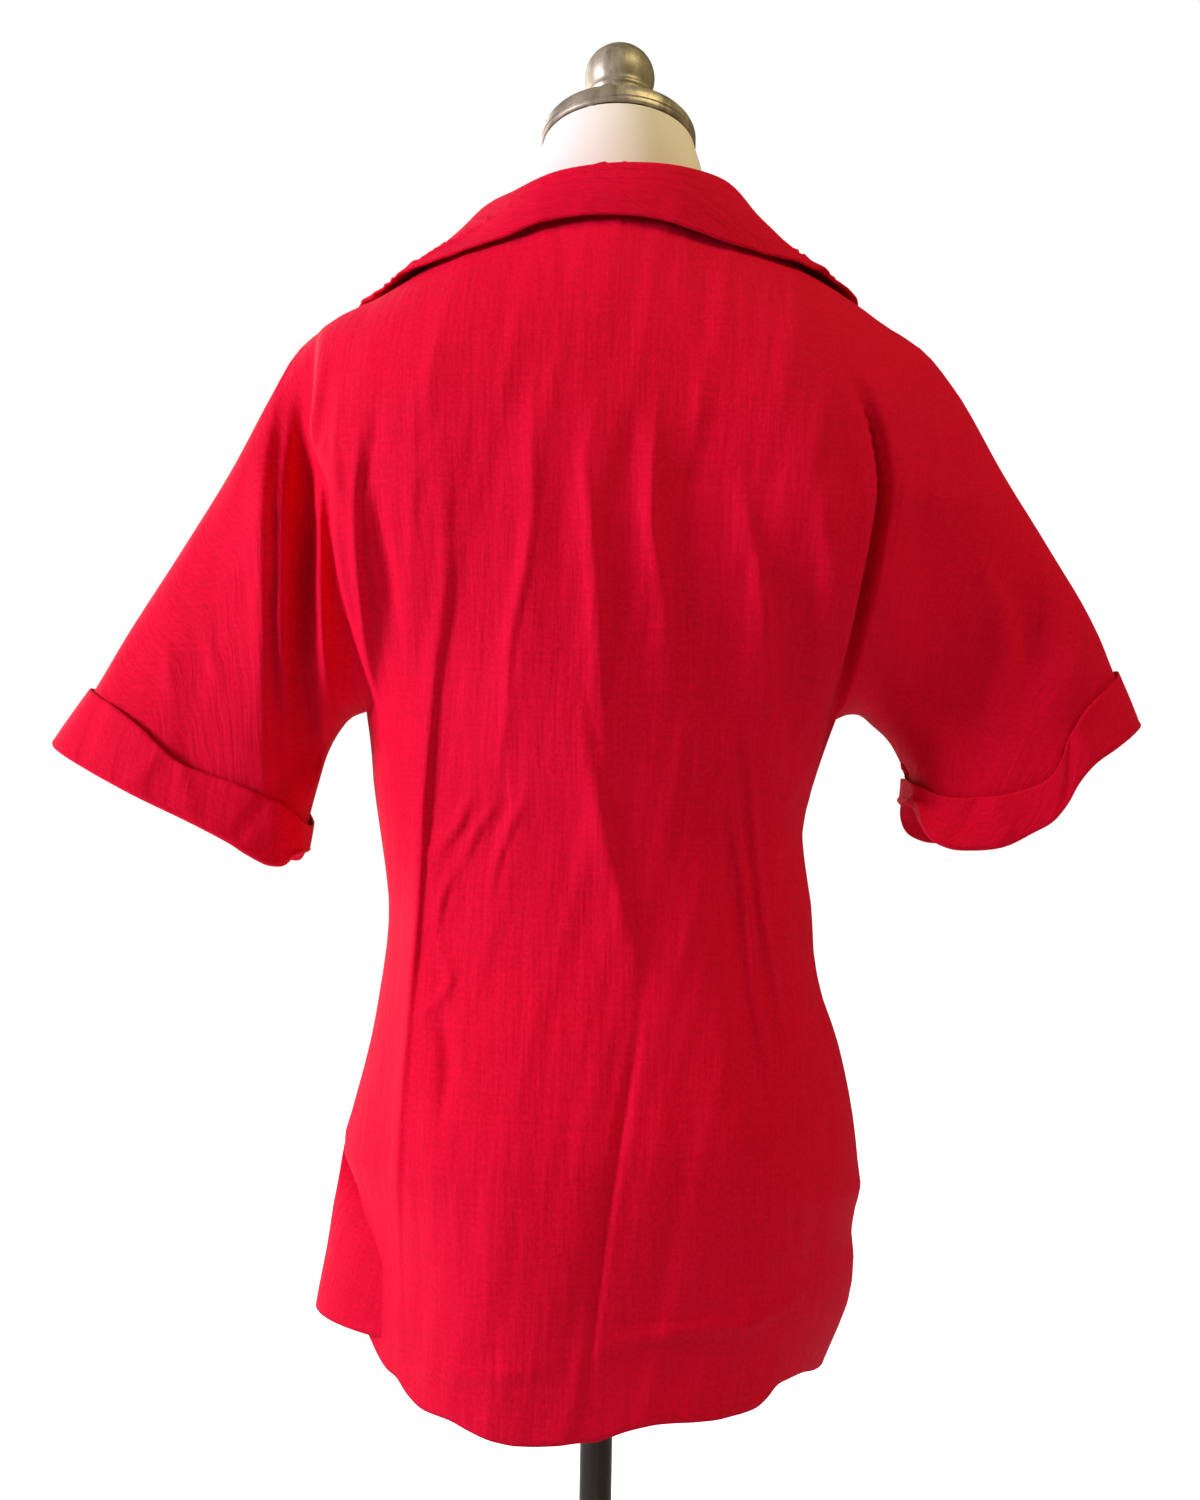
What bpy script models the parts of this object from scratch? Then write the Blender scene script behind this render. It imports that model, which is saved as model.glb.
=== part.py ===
"""Shirt with kimono sleeves, a folded collar and turned-back cuffs, tied at the waist in front and worn by
a limbless dress form on a pole. Metres, +Z up, the front looks towards -Y, and the wearer's left is +X.
The origin is the centre of the foot, on the floor. Every table and size below is in millimetres."""

import math

import bmesh
import bpy
import numpy as np

MM = 0.001

# ---- driving sizes -------------------------------------------------------------------------------------------
CLOTH = 1.5              # one wall of cloth
DOUBLE_CLOTH = 1.8       # collar, cuffs and ties are two layers pressed together
SEAM_GAP = 0.8           # between the outer faces of two panels at a seam; the walls lean in and leave 0.3 or more
NAPE_Z = 1226.0          # neckline at the centre of the back
NECK_SIDE = (65.0, 1233.0)   # x and z where the shoulder seam meets the neckline
KNOT_Z = 842.0           # the tie, at the natural waist
ROUNDNESS = 2.2          # exponent of the rounded cross-sections, 2 is an ellipse
SHOULDER_ROLL = 95.0     # how far below the shoulder line the cloth is still turning
SLEEVE_ROLL = 85.0       # the same, across a sleeve
SLEEVE_DEPTH = 42.0      # half the depth of a hanging sleeve, front to back
SLEEVE_BLEND = (95.0, 265.0)  # distances from the centre between which the body's depth becomes the sleeve's

# Depth of the body, centre to back and centre to front, at each height.
BODY_DEPTH = {
    #  z:    (back, front)
    490.0:  (121.0, 99.0),
    520.0:  (121.0, 100.0),
    575.0:  (121.0, 101.0),
    640.0:  (118.0, 101.0),
    720.0:  (104.0, 95.0),
    800.0:  (91.0, 88.0),
    870.0:  (94.0, 95.0),
    930.0:  (100.0, 109.0),
    1000.0: (106.0, 122.0),
    1050.0: (108.0, 122.0),
    1100.0: (107.0, 110.0),
    1160.0: (98.0, 90.0),
    1200.0: (88.0, 74.0),
    1265.0: (80.0, 64.0),
}

# Outline of the body seen from the back, from the hem to the armpit. Below the tops of the side vents the
# back and the front panels part.
BODY_OUTLINE = {
    #  z:   (back left, back right, front left, front right)
    500.0: (143.0, 137.0, 186.0, 146.0),
    530.0: (144.0, 149.0, 183.0, 150.0),
    552.0: (144.0, 158.0, 179.5, 154.0),
    590.0: (143.0, 161.5, 173.0, 159.5),
    606.0: (147.0, 159.5, 171.0, 162.0),
    620.0: (153.0, 165.0, 168.5, 163.5),
    645.0: (164.0, 163.0, 164.5, 163.0),
    672.0: (158.5, 159.5, 158.5, 159.5),
    697.0: (152.0, 154.5, 152.0, 154.5),
    722.0: (146.5, 148.0, 146.5, 148.0),
    748.0: (142.5, 138.5, 142.5, 138.5),
    775.0: (139.0, 133.0, 139.0, 133.0),
    800.0: (138.0, 131.5, 138.0, 131.5),
    825.0: (141.0, 127.5, 141.0, 127.5),
    850.0: (145.0, 124.5, 145.0, 124.5),
    875.0: (149.0, 129.5, 149.0, 129.5),
    900.0: (151.5, 137.5, 151.5, 137.5),
    922.0: (155.0, 145.0, 155.0, 145.0),
}

# The hem, from the centre out to the side vent, as (x, z). The back dips in the middle.
HEMS = {
    ("left", "back"): [(0, 500), (60, 500), (74, 504), (86, 508), (108, 511), (115, 515), (120, 520), (129, 523),
                       (136, 529), (144, 541)],
    ("right", "back"): [(0, 500), (20, 506), (78, 508), (87, 509), (95, 511), (102, 516), (107, 521), (115, 523),
                        (125, 523), (133, 520), (143, 517)],
    ("left", "front"): [(10, 514), (60, 514), (120, 511), (155, 516), (170, 531), (182, 545)],
    ("right", "front"): [(10, 514), (60, 516), (120, 522), (152, 530)],
}

# Shoulder seam and top of the sleeve, from the neck to the end of the sleeve, as (x, z).
TOP_LEFT = [(65, 1233), (108, 1210), (150, 1184), (177, 1171), (204, 1149), (218, 1124),
            (243, 1075), (274, 1023), (308, 968), (328, 933), (350, 898)]
TOP_RIGHT = [(65, 1234), (106, 1212), (147, 1188), (168, 1174), (198, 1155), (218, 1131),
             (247, 1083), (279, 1032), (309, 981), (321, 955), (334, 922)]
SHOULDER_TIP = 4         # the row of the tops above where the seam leaves the shoulder for the sleeve
NECK_PEAK = [(65, 1233), (48, 1243), (26, 1251), (0, 1255)]  # the rounding line goes on over the neck hole

# Underarm seam, from the armpit to the end of the sleeve.
UNDER_LEFT = [(155, 922), (165, 918), (174, 907), (180, 895), (185, 878), (191, 854), (195, 834)]
UNDER_RIGHT = [(145, 922), (152, 925), (161, 925), (170, 918), (179, 910), (187, 897), (192, 884), (192, 872)]

# Edges of the turned-back cuffs, from the underarm to the top of the sleeve: the free edge, and the fold below it.
CUFF_LEFT = {
    "free": [(191, 849), (201, 861), (213, 868), (225, 874), (243, 880), (266, 889), (278, 899), (288, 908), (305, 920),
             (328, 932)],
    "fold": [(194, 834), (200, 826), (208, 826), (220, 832), (232, 840), (249, 849), (288, 867), (315, 880), (348, 896)],
}
CUFF_RIGHT = {
    "free": [(192, 886), (204, 877), (232, 875), (256, 880), (268, 885), (275, 893), (279, 902), (282, 914), (289, 927),
             (299, 938), (316, 953)],
    "fold": [(192, 872), (194, 860), (200, 850), (210, 845), (227, 844), (246, 847), (262, 855), (275, 863), (283, 873),
             (290, 886), (299, 897), (315, 908), (334, 921)],
}
CUFF_STAND_OFF = 4.6     # from the outside of the sleeve to the outside of the cuff
CUFF_KEEP = (48.0, 78.0)  # folds fade between these distances from a cuff's own fold

# Largest folds. Each runs along a curve through three points (x, z), is a hill of this height with this
# half-width, or a valley where the height is negative, and fades at both ends.
BACK_FOLDS = [
    # x0,  z0,   x1,   z1,   x2,   z2,  half-width, height
    (208, 1140, 222, 1030, 216, 890, 12, -11),
    (192, 1140, 186, 1010, 162, 918, 11, -16),
    (164, 1125, 168, 1030, 150, 925, 12, 10),
    (148, 1090, 146, 1000, 142, 820, 11, 6),
    (118, 1060, 119, 960, 108, 560, 15, 8),
    (44, 1120, 46, 1010, 62, 880, 12, 5),
    (8, 1120, 10, 1020, 2, 900, 13, 5),
    (-26, 1110, -24, 1010, -36, 920, 12, 6),
    (20, 930, -2, 820, -17, 750, 15, 6),
    (-18, 745, 6, 640, 10, 520, 11, -4),
    (-78, 1050, -90, 940, -104, 850, 12, 5),
    (-70, 900, -84, 760, -112, 650, 12, -5),
    (-136, 1120, -154, 1050, -138, 930, 12, -17),
    (-114, 1070, -124, 990, -118, 900, 12, 8),
    (-182, 1060, -190, 1000, -180, 930, 12, -6),
    (-236, 1010, -250, 950, -240, 890, 12, 6),
]
FRONT_FOLDS = [
    (62, 1100, 46, 980, 22, 880, 12, 6),
    (122, 1010, 86, 920, 34, 858, 12, 7),
    (150, 890, 100, 862, 46, 844, 11, 5),
    (138, 760, 86, 808, 36, 834, 11, 5),
    (66, 560, 54, 700, 30, 806, 13, 7),
    (120, 560, 104, 680, 70, 780, 13, 6),
    (188, 1140, 184, 1020, 160, 922, 11, -11),
    (212, 1120, 216, 1010, 212, 900, 12, -7),
    (-68, 1090, -48, 985, -22, 878, 12, 6),
    (-114, 1020, -82, 925, -34, 858, 12, 7),
    (-126, 890, -92, 864, -44, 846, 11, 4),
    (-130, 750, -84, 804, -36, 832, 11, 5),
    (-58, 558, -48, 695, -28, 804, 13, 7),
    (-110, 565, -96, 680, -66, 780, 13, 6),
    (-178, 1140, -176, 1020, -152, 922, 11, -10),
    (-208, 1110, -214, 1000, -206, 920, 12, -7),
]

# Collar, from its right front point round the back to its left front point: its seam, the fold at its top and its
# outer edge, each as (x, y, z). It lies close on the left and lifts off the right shoulder.
COLLAR_STATIONS = [
    #      seam                 fold                outer edge
    ((-51, -90, 1156),   (-54, -93, 1163),   (-126, -108, 1106)),
    ((-58, -70, 1188),   (-62, -73, 1197),   (-147, -88, 1134)),
    ((-63, -48, 1212),   (-70, -50, 1224),   (-157, -52, 1165)),
    ((-67, -24, 1230),   (-74, -24, 1237),   (-157, -18, 1184)),
    ((-69, 2, 1236),     (-76, 2, 1243),     (-147, 12, 1193)),
    ((-57, 31, 1234),    (-68, 36, 1251),    (-116, 40, 1198)),
    ((-33, 54, 1229),    (-39, 59, 1254),    (-72, 63, 1207)),
    ((0, 60, 1227),      (-2, 65, 1254),     (-14, 73, 1221)),
    ((33, 54, 1229),     (36, 59, 1250),     (49, 67, 1217)),
    ((57, 31, 1234),     (63, 35, 1245),     (92, 52, 1199)),
    ((69, 2, 1237),      (82, 2, 1243),      (131, 30, 1186)),
    ((67, -24, 1230),    (80, -24, 1236),    (160, 2, 1179)),
    ((63, -48, 1212),    (73, -50, 1220),    (165, -42, 1160)),
    ((58, -70, 1188),    (63, -73, 1196),    (150, -84, 1130)),
    ((51, -90, 1156),    (54, -93, 1163),    (126, -108, 1104)),
]
COLLAR_CLEAR = 3.4       # least distance from the outside of the shirt to the outside of the collar's fall

# Dress form, as rings: height, half-width, depth to the back and to the front.
FORM_RINGS = [
    (600, 134, 90, 74), (606, 140, 95, 78), (641, 153, 102, 84), (690, 148, 93, 82), (740, 128, 78, 76),
    (800, 117, 70, 73), (850, 114, 72, 78), (900, 124, 79, 90), (950, 134, 85, 102), (1000, 141, 90, 109),
    (1050, 148, 93, 107), (1100, 156, 91, 93), (1135, 162, 85, 78), (1158, 160, 78, 68), (1174, 148, 71, 60),
    (1188, 124, 63, 55), (1203, 96, 56, 50), (1217, 73, 51, 46), (1232, 61.5, 50, 45), (1252, 59.5, 49, 46),
    (1270, 55, 48, 46.5), (1289.5, 49, 47, 47),
]
NECK_TILT = 17.5         # the neck's top leans forward, degrees
NECK_TILT_FROM = 1192.0  # the lean starts here
CAP_RADIUS = 50.0
CAP_SEAT_Z = 1290.5
POLE_RADIUS = 10.3
FOOT_RADIUS = 170.0

# ---- helpers -------------------------------------------------------------------------------------------------


def smoothstep(low, high, value):
    """0 below low, 1 above high, and a soft S between."""
    t = np.clip((np.asarray(value, float) - low) / (high - low), 0, 1)
    return t * t * (3 - 2 * t)


def through(points, t):
    """Points of the smooth curve through these points, where t runs from 0 to 1 along their chords."""
    points = np.asarray(points, float)
    steps = np.linalg.norm(np.diff(points, axis=0), axis=1)
    knots = np.concatenate([[0], np.cumsum(steps)]) / steps.sum()
    slopes = np.gradient(points, knots, axis=0)
    t = np.clip(np.asarray(t, float), 0, 1)
    i = np.clip(np.searchsorted(knots, t, side="right") - 1, 0, len(knots) - 2)
    span = (knots[i + 1] - knots[i])[..., None]
    f = (t - knots[i])[..., None] / span
    return (
        points[i] * (2 * f**3 - 3 * f**2 + 1)
        + points[i + 1] * (3 * f**2 - 2 * f**3)
        + slopes[i] * span * (f**3 - 2 * f**2 + f)
        + slopes[i + 1] * span * (f**3 - f**2)
    )


def column(table, name, z):
    """One column of a height table at the heights z, smoothly between its rows."""
    heights = np.array(sorted(table))
    values = np.array([table[h][name] for h in heights])
    slopes = np.gradient(values, heights)
    z = np.clip(np.asarray(z, float), heights[0], heights[-1])
    i = np.clip(np.searchsorted(heights, z, side="right") - 1, 0, len(heights) - 2)
    span = heights[i + 1] - heights[i]
    f = (z - heights[i]) / span
    return (
        values[i] * (2 * f**3 - 3 * f**2 + 1)
        + values[i + 1] * (3 * f**2 - 2 * f**3)
        + slopes[i] * span * (f**3 - 2 * f**2 + f)
        + slopes[i + 1] * span * (f**3 - f**2)
    )


def distance_to(line, x, z):
    """Distance in the (x, z) plane from each point to a polyline, and how far along it the nearest point is, 0 to 1."""
    line = np.asarray(line, float)
    start, along = line[:-1], np.diff(line, axis=0)
    away = np.stack([x, z], -1)[..., None, :] - start
    f = np.clip((away * along).sum(-1) / (along**2).sum(-1), 0, 1)
    gap = np.linalg.norm(away - f[..., None] * along, axis=-1)
    nearest = gap.argmin(-1)[..., None]
    reach = (nearest + np.take_along_axis(f, nearest, -1))[..., 0] / len(start)
    return gap.min(-1), reach


def rounding(share):
    """How far a section has bulged out at this share of the way from its edge: 0 at the edge, 1 where it's full."""
    inward = 1 - np.clip(share, 0, 1)
    return (1 - inward**ROUNDNESS) ** (1 / ROUNDNESS)


# ---- the garment's surface ------------------------------------------------------------------------------------
SIDES = {
    # side: sign of x, columns of BODY_OUTLINE for the back and the front, seam lines and cuff
    "left": {"sign": 1, "back": 0, "front": 2, "top": TOP_LEFT, "under": UNDER_LEFT, "cuff": CUFF_LEFT},
    "right": {"sign": -1, "back": 1, "front": 3, "top": TOP_RIGHT, "under": UNDER_RIGHT, "cuff": CUFF_RIGHT},
}
ARMPIT_Z = 922.0
LOWEST_HEM = 495.0
EVEN = np.linspace(0, 1, 41)


def top_line(side):
    """The line over the neck hole, shoulder and sleeve where front and back meet."""
    over_neck = through(NECK_PEAK[::-1], EVEN[::4])
    return np.vstack([over_neck[:-1], through(SIDES[side]["top"], EVEN)])


def under_line(side, face):
    """Side seam from the hem up to the armpit, then the underarm seam out to the sleeve's end."""
    z = np.linspace(LOWEST_HEM, ARMPIT_Z, 30)
    body = np.stack([column(BODY_OUTLINE, SIDES[side][face], z), z], -1)
    return np.vstack([body[:-1], through(SIDES[side]["under"], EVEN[::2])])


def body_half_width(side, face, z):
    return column(BODY_OUTLINE, SIDES[side][face], z)


def fold_relief(folds, x, z):
    """Sum of the hills and valleys of a fold table at each point."""
    relief = np.zeros_like(x)
    t = np.linspace(0, 1, 13)
    for x0, z0, x1, z1, x2, z2, half_width, height in folds:
        gap, reach = distance_to(through([(x0, z0), (x1, z1), (x2, z2)], t), x, z)
        fade = np.sin(np.pi * np.clip(reach, 0.04, 0.96)) ** 0.7
        relief += height * fade * np.exp(-((gap / half_width) ** 2))
    for facts in SIDES.values():
        gap, _ = distance_to(facts["cuff"]["fold"], x * facts["sign"], z)
        relief *= smoothstep(*CUFF_KEEP, gap)
    return relief


def cloth_y(face, x, z):
    """Depth of a panel's outer face at (x, z): full in the middle, rounding to the seams at its edges."""
    x, z = np.asarray(x, float), np.asarray(z, float)
    bulge = np.zeros_like(x)
    for side, facts in SIDES.items():
        here = (x * facts["sign"] > 0) | ((x == 0) & (facts["sign"] > 0))
        if not here.any():
            continue
        ax, az = np.abs(x[here]), z[here]
        to_sleeve = smoothstep(*SLEEVE_BLEND, ax)
        depth = column(BODY_DEPTH, 0 if face == "back" else 1, az)
        depth = depth + (SLEEVE_DEPTH - depth) * to_sleeve
        half = body_half_width(side, face, np.minimum(az, ARMPIT_Z))
        edge_roll = half + (SLEEVE_ROLL - half) * smoothstep(120, 200, ax)
        top_roll = SHOULDER_ROLL + (SLEEVE_ROLL - SHOULDER_ROLL) * to_sleeve
        bulge[here] = (
            depth
            * rounding(distance_to(top_line(side), ax, az)[0] / top_roll)
            * rounding(distance_to(under_line(side, face), ax, az)[0] / edge_roll)
        )
    away = smoothstep(0, 22, bulge)
    relief = fold_relief(BACK_FOLDS if face == "back" else FRONT_FOLDS, x, z) * away
    out = 1 if face == "back" else -1
    return out * (SEAM_GAP / 2 + bulge + relief)


# ---- panels ---------------------------------------------------------------------------------------------------
ROWS_BELOW_ARM = 18
ROWS_ABOVE_ARM = 13
COLUMNS = {"back": 12, "front": 10}
SLEEVE_COLUMNS = 8


def armhole_line(side):
    """From the armpit to the tip of the shoulder, where a panel's body goes over into its sleeve."""
    tip = SIDES[side]["top"][SHOULDER_TIP]
    q = (1 - np.cos(np.linspace(0, math.pi, ROWS_ABOVE_ARM + 1))) / 2
    return through([SIDES[side]["under"][0], tip], q), q


def hem_z(side, face, x):
    line = np.array(HEMS[side, face], float)
    return np.interp(x, line[:, 0], line[:, 1])


def side_column(side, face):
    """Points (x, z) up a panel's side: side seam, then armhole line."""
    z = np.linspace(HEMS[side, face][-1][1], ARMPIT_Z, ROWS_BELOW_ARM + 1)[:-1]
    seam = np.stack([body_half_width(side, face, z), z], -1)
    return np.vstack([seam, armhole_line(side)[0]])


def shoulder_z(side, x):
    """Height of the shoulder seam at a distance x from the centre."""
    line = through(SIDES[side]["top"], EVEN)
    upto = np.argmax(line[:, 1] < SIDES[side]["top"][SHOULDER_TIP][1] - 12)
    return np.interp(x, line[:upto, 0], line[:upto, 1])


def rise_of(edge):
    """Heights up a panel's side as shares of the whole."""
    return (edge[:, 1] - edge[0, 1]) / (edge[-1, 1] - edge[0, 1])


def body_block(side, face):
    """Grid of (x, z), a row for each height and a column from the centre or front edge out to the side."""
    edge = side_column(side, face)
    share = np.sin(np.linspace(0, math.pi / 2, COLUMNS[face] + 1))
    rises = [rise_of(side_column(each, face)) for each in SIDES]
    rise = (1 - share) * np.mean(rises, 0)[:, None] + share * rise_of(edge)[:, None]
    tip_x = edge[-1, 0]
    if face == "back":
        top_x = share * tip_x
        neck = NAPE_Z + (NECK_SIDE[1] - NAPE_Z) * (top_x / NECK_SIDE[0]) ** 2
        top_z = np.where(top_x < NECK_SIDE[0], neck, shoulder_z(side, top_x))
        inner = np.zeros(len(edge))
    else:
        top_x = NECK_SIDE[0] + share * (tip_x - NECK_SIDE[0])
        top_z = shoulder_z(side, top_x)
        inner = front_edge_x(520 + rise[:, 0] * (top_z[0] - 520))
    top_z[-1] = edge[-1, 1]
    x = inner[:, None] + share[None, :] * (edge[:, :1] - inner[:, None])
    bottom = hem_z(side, face, x[0])
    bottom[-1] = edge[0, 1]
    z = bottom + rise * (top_z - bottom)
    return x, z


def front_edge_x(z):
    """The front edges part above the knot in a V up to the neck, and a little below it."""
    above = np.clip((z - KNOT_Z) / (NECK_SIDE[1] - KNOT_Z), 0, 1)
    below = np.clip((KNOT_Z - z) / (KNOT_Z - LOWEST_HEM), 0, 1)
    return 4.0 + (NECK_SIDE[0] - 4.0) * above**1.5 + 16.0 * below**1.2


def sleeve_block(side):
    """Grid of (x, z) from the armhole line out to the sleeve's end, blended from its four edges."""
    facts = SIDES[side]
    start, q = armhole_line(side)
    p = np.linspace(0, 1, SLEEVE_COLUMNS + 1)
    under = through(facts["under"], p)
    top = through(facts["top"][SHOULDER_TIP:], p)
    fold = through(facts["cuff"]["fold"], q)
    end = fold + (1 - q)[:, None] * (under[-1] - fold[0]) + q[:, None] * (top[-1] - fold[-1])
    a, b = q[:, None, None], p[None, :, None]
    grid = (1 - a) * under + a * top + (1 - b) * start[:, None] + b * end[:, None]
    corners = (1 - a) * ((1 - b) * start[0] + b * under[-1]) + a * ((1 - b) * start[-1] + b * end[-1])
    grid = grid - corners
    return grid[..., 0], grid[..., 1]


def grid_faces(rows, columns, flip):
    quads = []
    for r in range(rows - 1):
        for c in range(columns - 1):
            quad = (r * columns + c, r * columns + c + 1, (r + 1) * columns + c + 1, (r + 1) * columns + c)
            quads.append(quad[::-1] if flip else quad)
    return quads


def finished(name, mesh, colour, roughness, metallic=0.0):
    """Object with its own material, shaded smooth."""
    obj = bpy.data.objects.new(name, mesh)
    bpy.context.scene.collection.objects.link(obj)
    material = bpy.data.materials.new(name)
    material.use_nodes = True
    shader = material.node_tree.nodes["Principled BSDF"]
    shader.inputs["Base Color"].default_value = (*colour, 1)
    shader.inputs["Roughness"].default_value = roughness
    shader.inputs["Metallic"].default_value = metallic
    mesh.materials.append(material)
    mesh.shade_smooth()
    mesh.set_sharp_from_angle(angle=math.radians(40))
    return obj


def sheet_mesh(name, blocks, thickness, seam_y=None):
    """A closed wall of cloth from blocks of (points, rows, columns, flip), whose shared edges have the same points.
    The wall goes inwards, and at seams, where |y| is seam_y, it keeps to its own side of the seam."""
    points, faces = [], []
    for block, rows, columns, flip in blocks:
        flat = block.reshape(-1, 3)
        for quad in grid_faces(rows, columns, flip):
            a, b, c, d = (i + len(points) for i in quad)
            p = flat[list(quad)]
            if np.linalg.norm(p[0] - p[2]) <= np.linalg.norm(p[1] - p[3]):
                faces += [(a, b, c), (a, c, d)]
            else:
                faces += [(a, b, d), (b, c, d)]
        points += [tuple(p) for p in flat]
    work = bmesh.new()
    outer = [work.verts.new(p) for p in points]
    for face in faces:
        work.faces.new([outer[i] for i in face])
    bmesh.ops.remove_doubles(work, verts=work.verts, dist=1e-4)
    work.verts.index_update()
    work.normal_update()
    outer = list(work.verts)
    rim = [tuple(v.index for v in edge_along_face(edge)) for edge in work.edges if edge.is_boundary]
    inner = []
    for vert in outer:
        inward = -vert.normal
        if seam_y is not None and abs(abs(vert.co.y) - seam_y) < 1e-3:
            inward.y = 0
            inward.normalize()
        inner.append(work.verts.new(vert.co + inward * thickness))
    for face in list(work.faces):
        work.faces.new([inner[v.index] for v in reversed(face.verts)])
    for i, j in rim:
        work.faces.new([outer[j], outer[i], inner[i], inner[j]])
    bmesh.ops.scale(work, vec=(MM, MM, MM), verts=work.verts)
    mesh = bpy.data.meshes.new(name)
    work.to_mesh(mesh)
    work.free()
    return mesh


def edge_along_face(edge):
    """The edge's two points in the order of its one face."""
    loop = edge.link_loops[0]
    return loop.vert, loop.link_loop_next.vert


RED = (0.56, 0.01, 0.035)
CREAM = (0.86, 0.80, 0.66)
BRONZE = (0.17, 0.14, 0.09)
DARK_METAL = (0.05, 0.045, 0.035)
CLOTH_ROUGHNESS = 0.85


def panel(name, face, sides):
    """A panel of the shirt cut in one with its sleeve or sleeves. Along its seams it comes to the seam's plane."""
    blocks = []
    seam_y = SEAM_GAP / 2 * (1 if face == "back" else -1)
    for side in sides:
        sign = SIDES[side]["sign"]
        flip = (sign > 0) == (face == "back")
        x, z = body_block(side, face)
        y = cloth_y(face, sign * x, z)
        y[: ROWS_BELOW_ARM + 1, -1] = seam_y
        y[-1, x[-1] >= NECK_SIDE[0] - 0.01] = seam_y
        blocks.append((np.stack([sign * x, y, z], -1), *x.shape, flip))
        x, z = sleeve_block(side)
        y = cloth_y(face, sign * x, z)
        y[0] = y[-1] = seam_y
        blocks.append((np.stack([sign * x, y, z], -1), *x.shape, flip))
    mesh = sheet_mesh(name, blocks, CLOTH, abs(seam_y))
    return finished(name, mesh, RED, CLOTH_ROUGHNESS)


# ---- collar, cuffs and ties --------------------------------------------------------------------------------------
COLLAR_COLUMNS = 27
STAND_ROWS = 3
FALL_ROWS = 6


def over_shirt(points):
    """How far points lie outside the shirt's shoulders: positive outside, in mm, close to the surface."""
    x, y, z = np.moveaxis(points, -1, 0)
    bulge = np.zeros_like(x)
    above = np.zeros_like(x)
    for side, facts in SIDES.items():
        here = x * facts["sign"] >= 0
        line = top_line(side)
        ax = np.abs(x[here])
        crest = np.interp(ax, line[:, 0], line[:, 1])
        bulge[here] = np.where(y[here] > 0, cloth_y("back", x[here], z[here]), -cloth_y("front", x[here], z[here]))
        above[here] = z[here] - crest
    return np.where(above > 0, np.hypot(above, y), np.abs(y) - bulge)


def slope_of(field, points):
    """Gradient of a scalar field at points, by central differences of 0.2 mm."""
    steps = [np.array([0.2, 0, 0]), np.array([0, 0.2, 0]), np.array([0, 0, 0.2])]
    return np.stack([(field(points + d) - field(points - d)) / 0.4 for d in steps], -1)


def cleared(points, distance):
    """The points, those too close to the shirt moved out along its normal to this distance."""
    points = points.copy()
    for _ in range(8):
        slope = slope_of(over_shirt, points)
        size = np.linalg.norm(slope, axis=-1, keepdims=True).clip(1)
        short = np.clip(distance - over_shirt(points)[..., None] / size, 0, 4)
        points += short * slope / size
    return points


def collar():
    """A band that stands up from the neckline, folds over at its top and falls to its outer edge."""
    stations = np.array(COLLAR_STATIONS, float)
    along = np.linspace(0, 1, COLLAR_COLUMNS)
    seam, fold, edge = (through(stations[:, k], along) for k in range(3))
    up = np.linspace(0, 1, STAND_ROWS + 1)[:, None, None]
    stand = seam + up * (fold - seam)
    turn = np.array([0.05, 0.12])[:, None, None]
    crown = fold + turn * (edge - fold) + np.array([0, 0, 1.6])
    down = np.linspace(0.2, 1, FALL_ROWS)[:, None, None]
    belly = np.sin(math.pi * down) * 3.0
    outward = np.stack([edge[:, 0] - fold[:, 0], edge[:, 1] - fold[:, 1], edge[:, 2] * 0], -1)
    outward /= np.linalg.norm(outward, axis=1, keepdims=True)
    fall = fold + down * (edge - fold) + belly * outward
    in_front = smoothstep(0, 30, -fold[:, 1])[:, None]
    fall = cleared(fall, COLLAR_CLEAR + 2.6 * in_front * (1 - down))
    inner = np.concatenate([stand, crown])
    inner = cleared(inner, in_front * (2.8 + 2.8 * np.concatenate([up, 1 + turn * 0])))
    grid = np.concatenate([inner, fall])
    mesh = sheet_mesh("collar", [(grid, *grid.shape[:2], True)], DOUBLE_CLOTH)
    return finished("collar", mesh, RED, CLOTH_ROUGHNESS)


CUFF_ROWS = 4
CUFF_HALF_STEPS = 14


def ring_normals(ring):
    """Normals of a grid whose columns close on themselves."""
    around = np.roll(ring, -1, 1) - np.roll(ring, 1, 1)
    along = np.gradient(ring, axis=0)
    normal = np.cross(around, along)
    return normal / np.linalg.norm(normal, axis=-1, keepdims=True)


def onto(line, points):
    """The nearest points of a polyline."""
    reach = distance_to(line, points[:, 0], points[:, 1])[1] * (len(line) - 1)
    steps = np.arange(len(line))
    return np.stack([np.interp(reach, steps, line[:, 0]), np.interp(reach, steps, line[:, 1])], -1)


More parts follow.
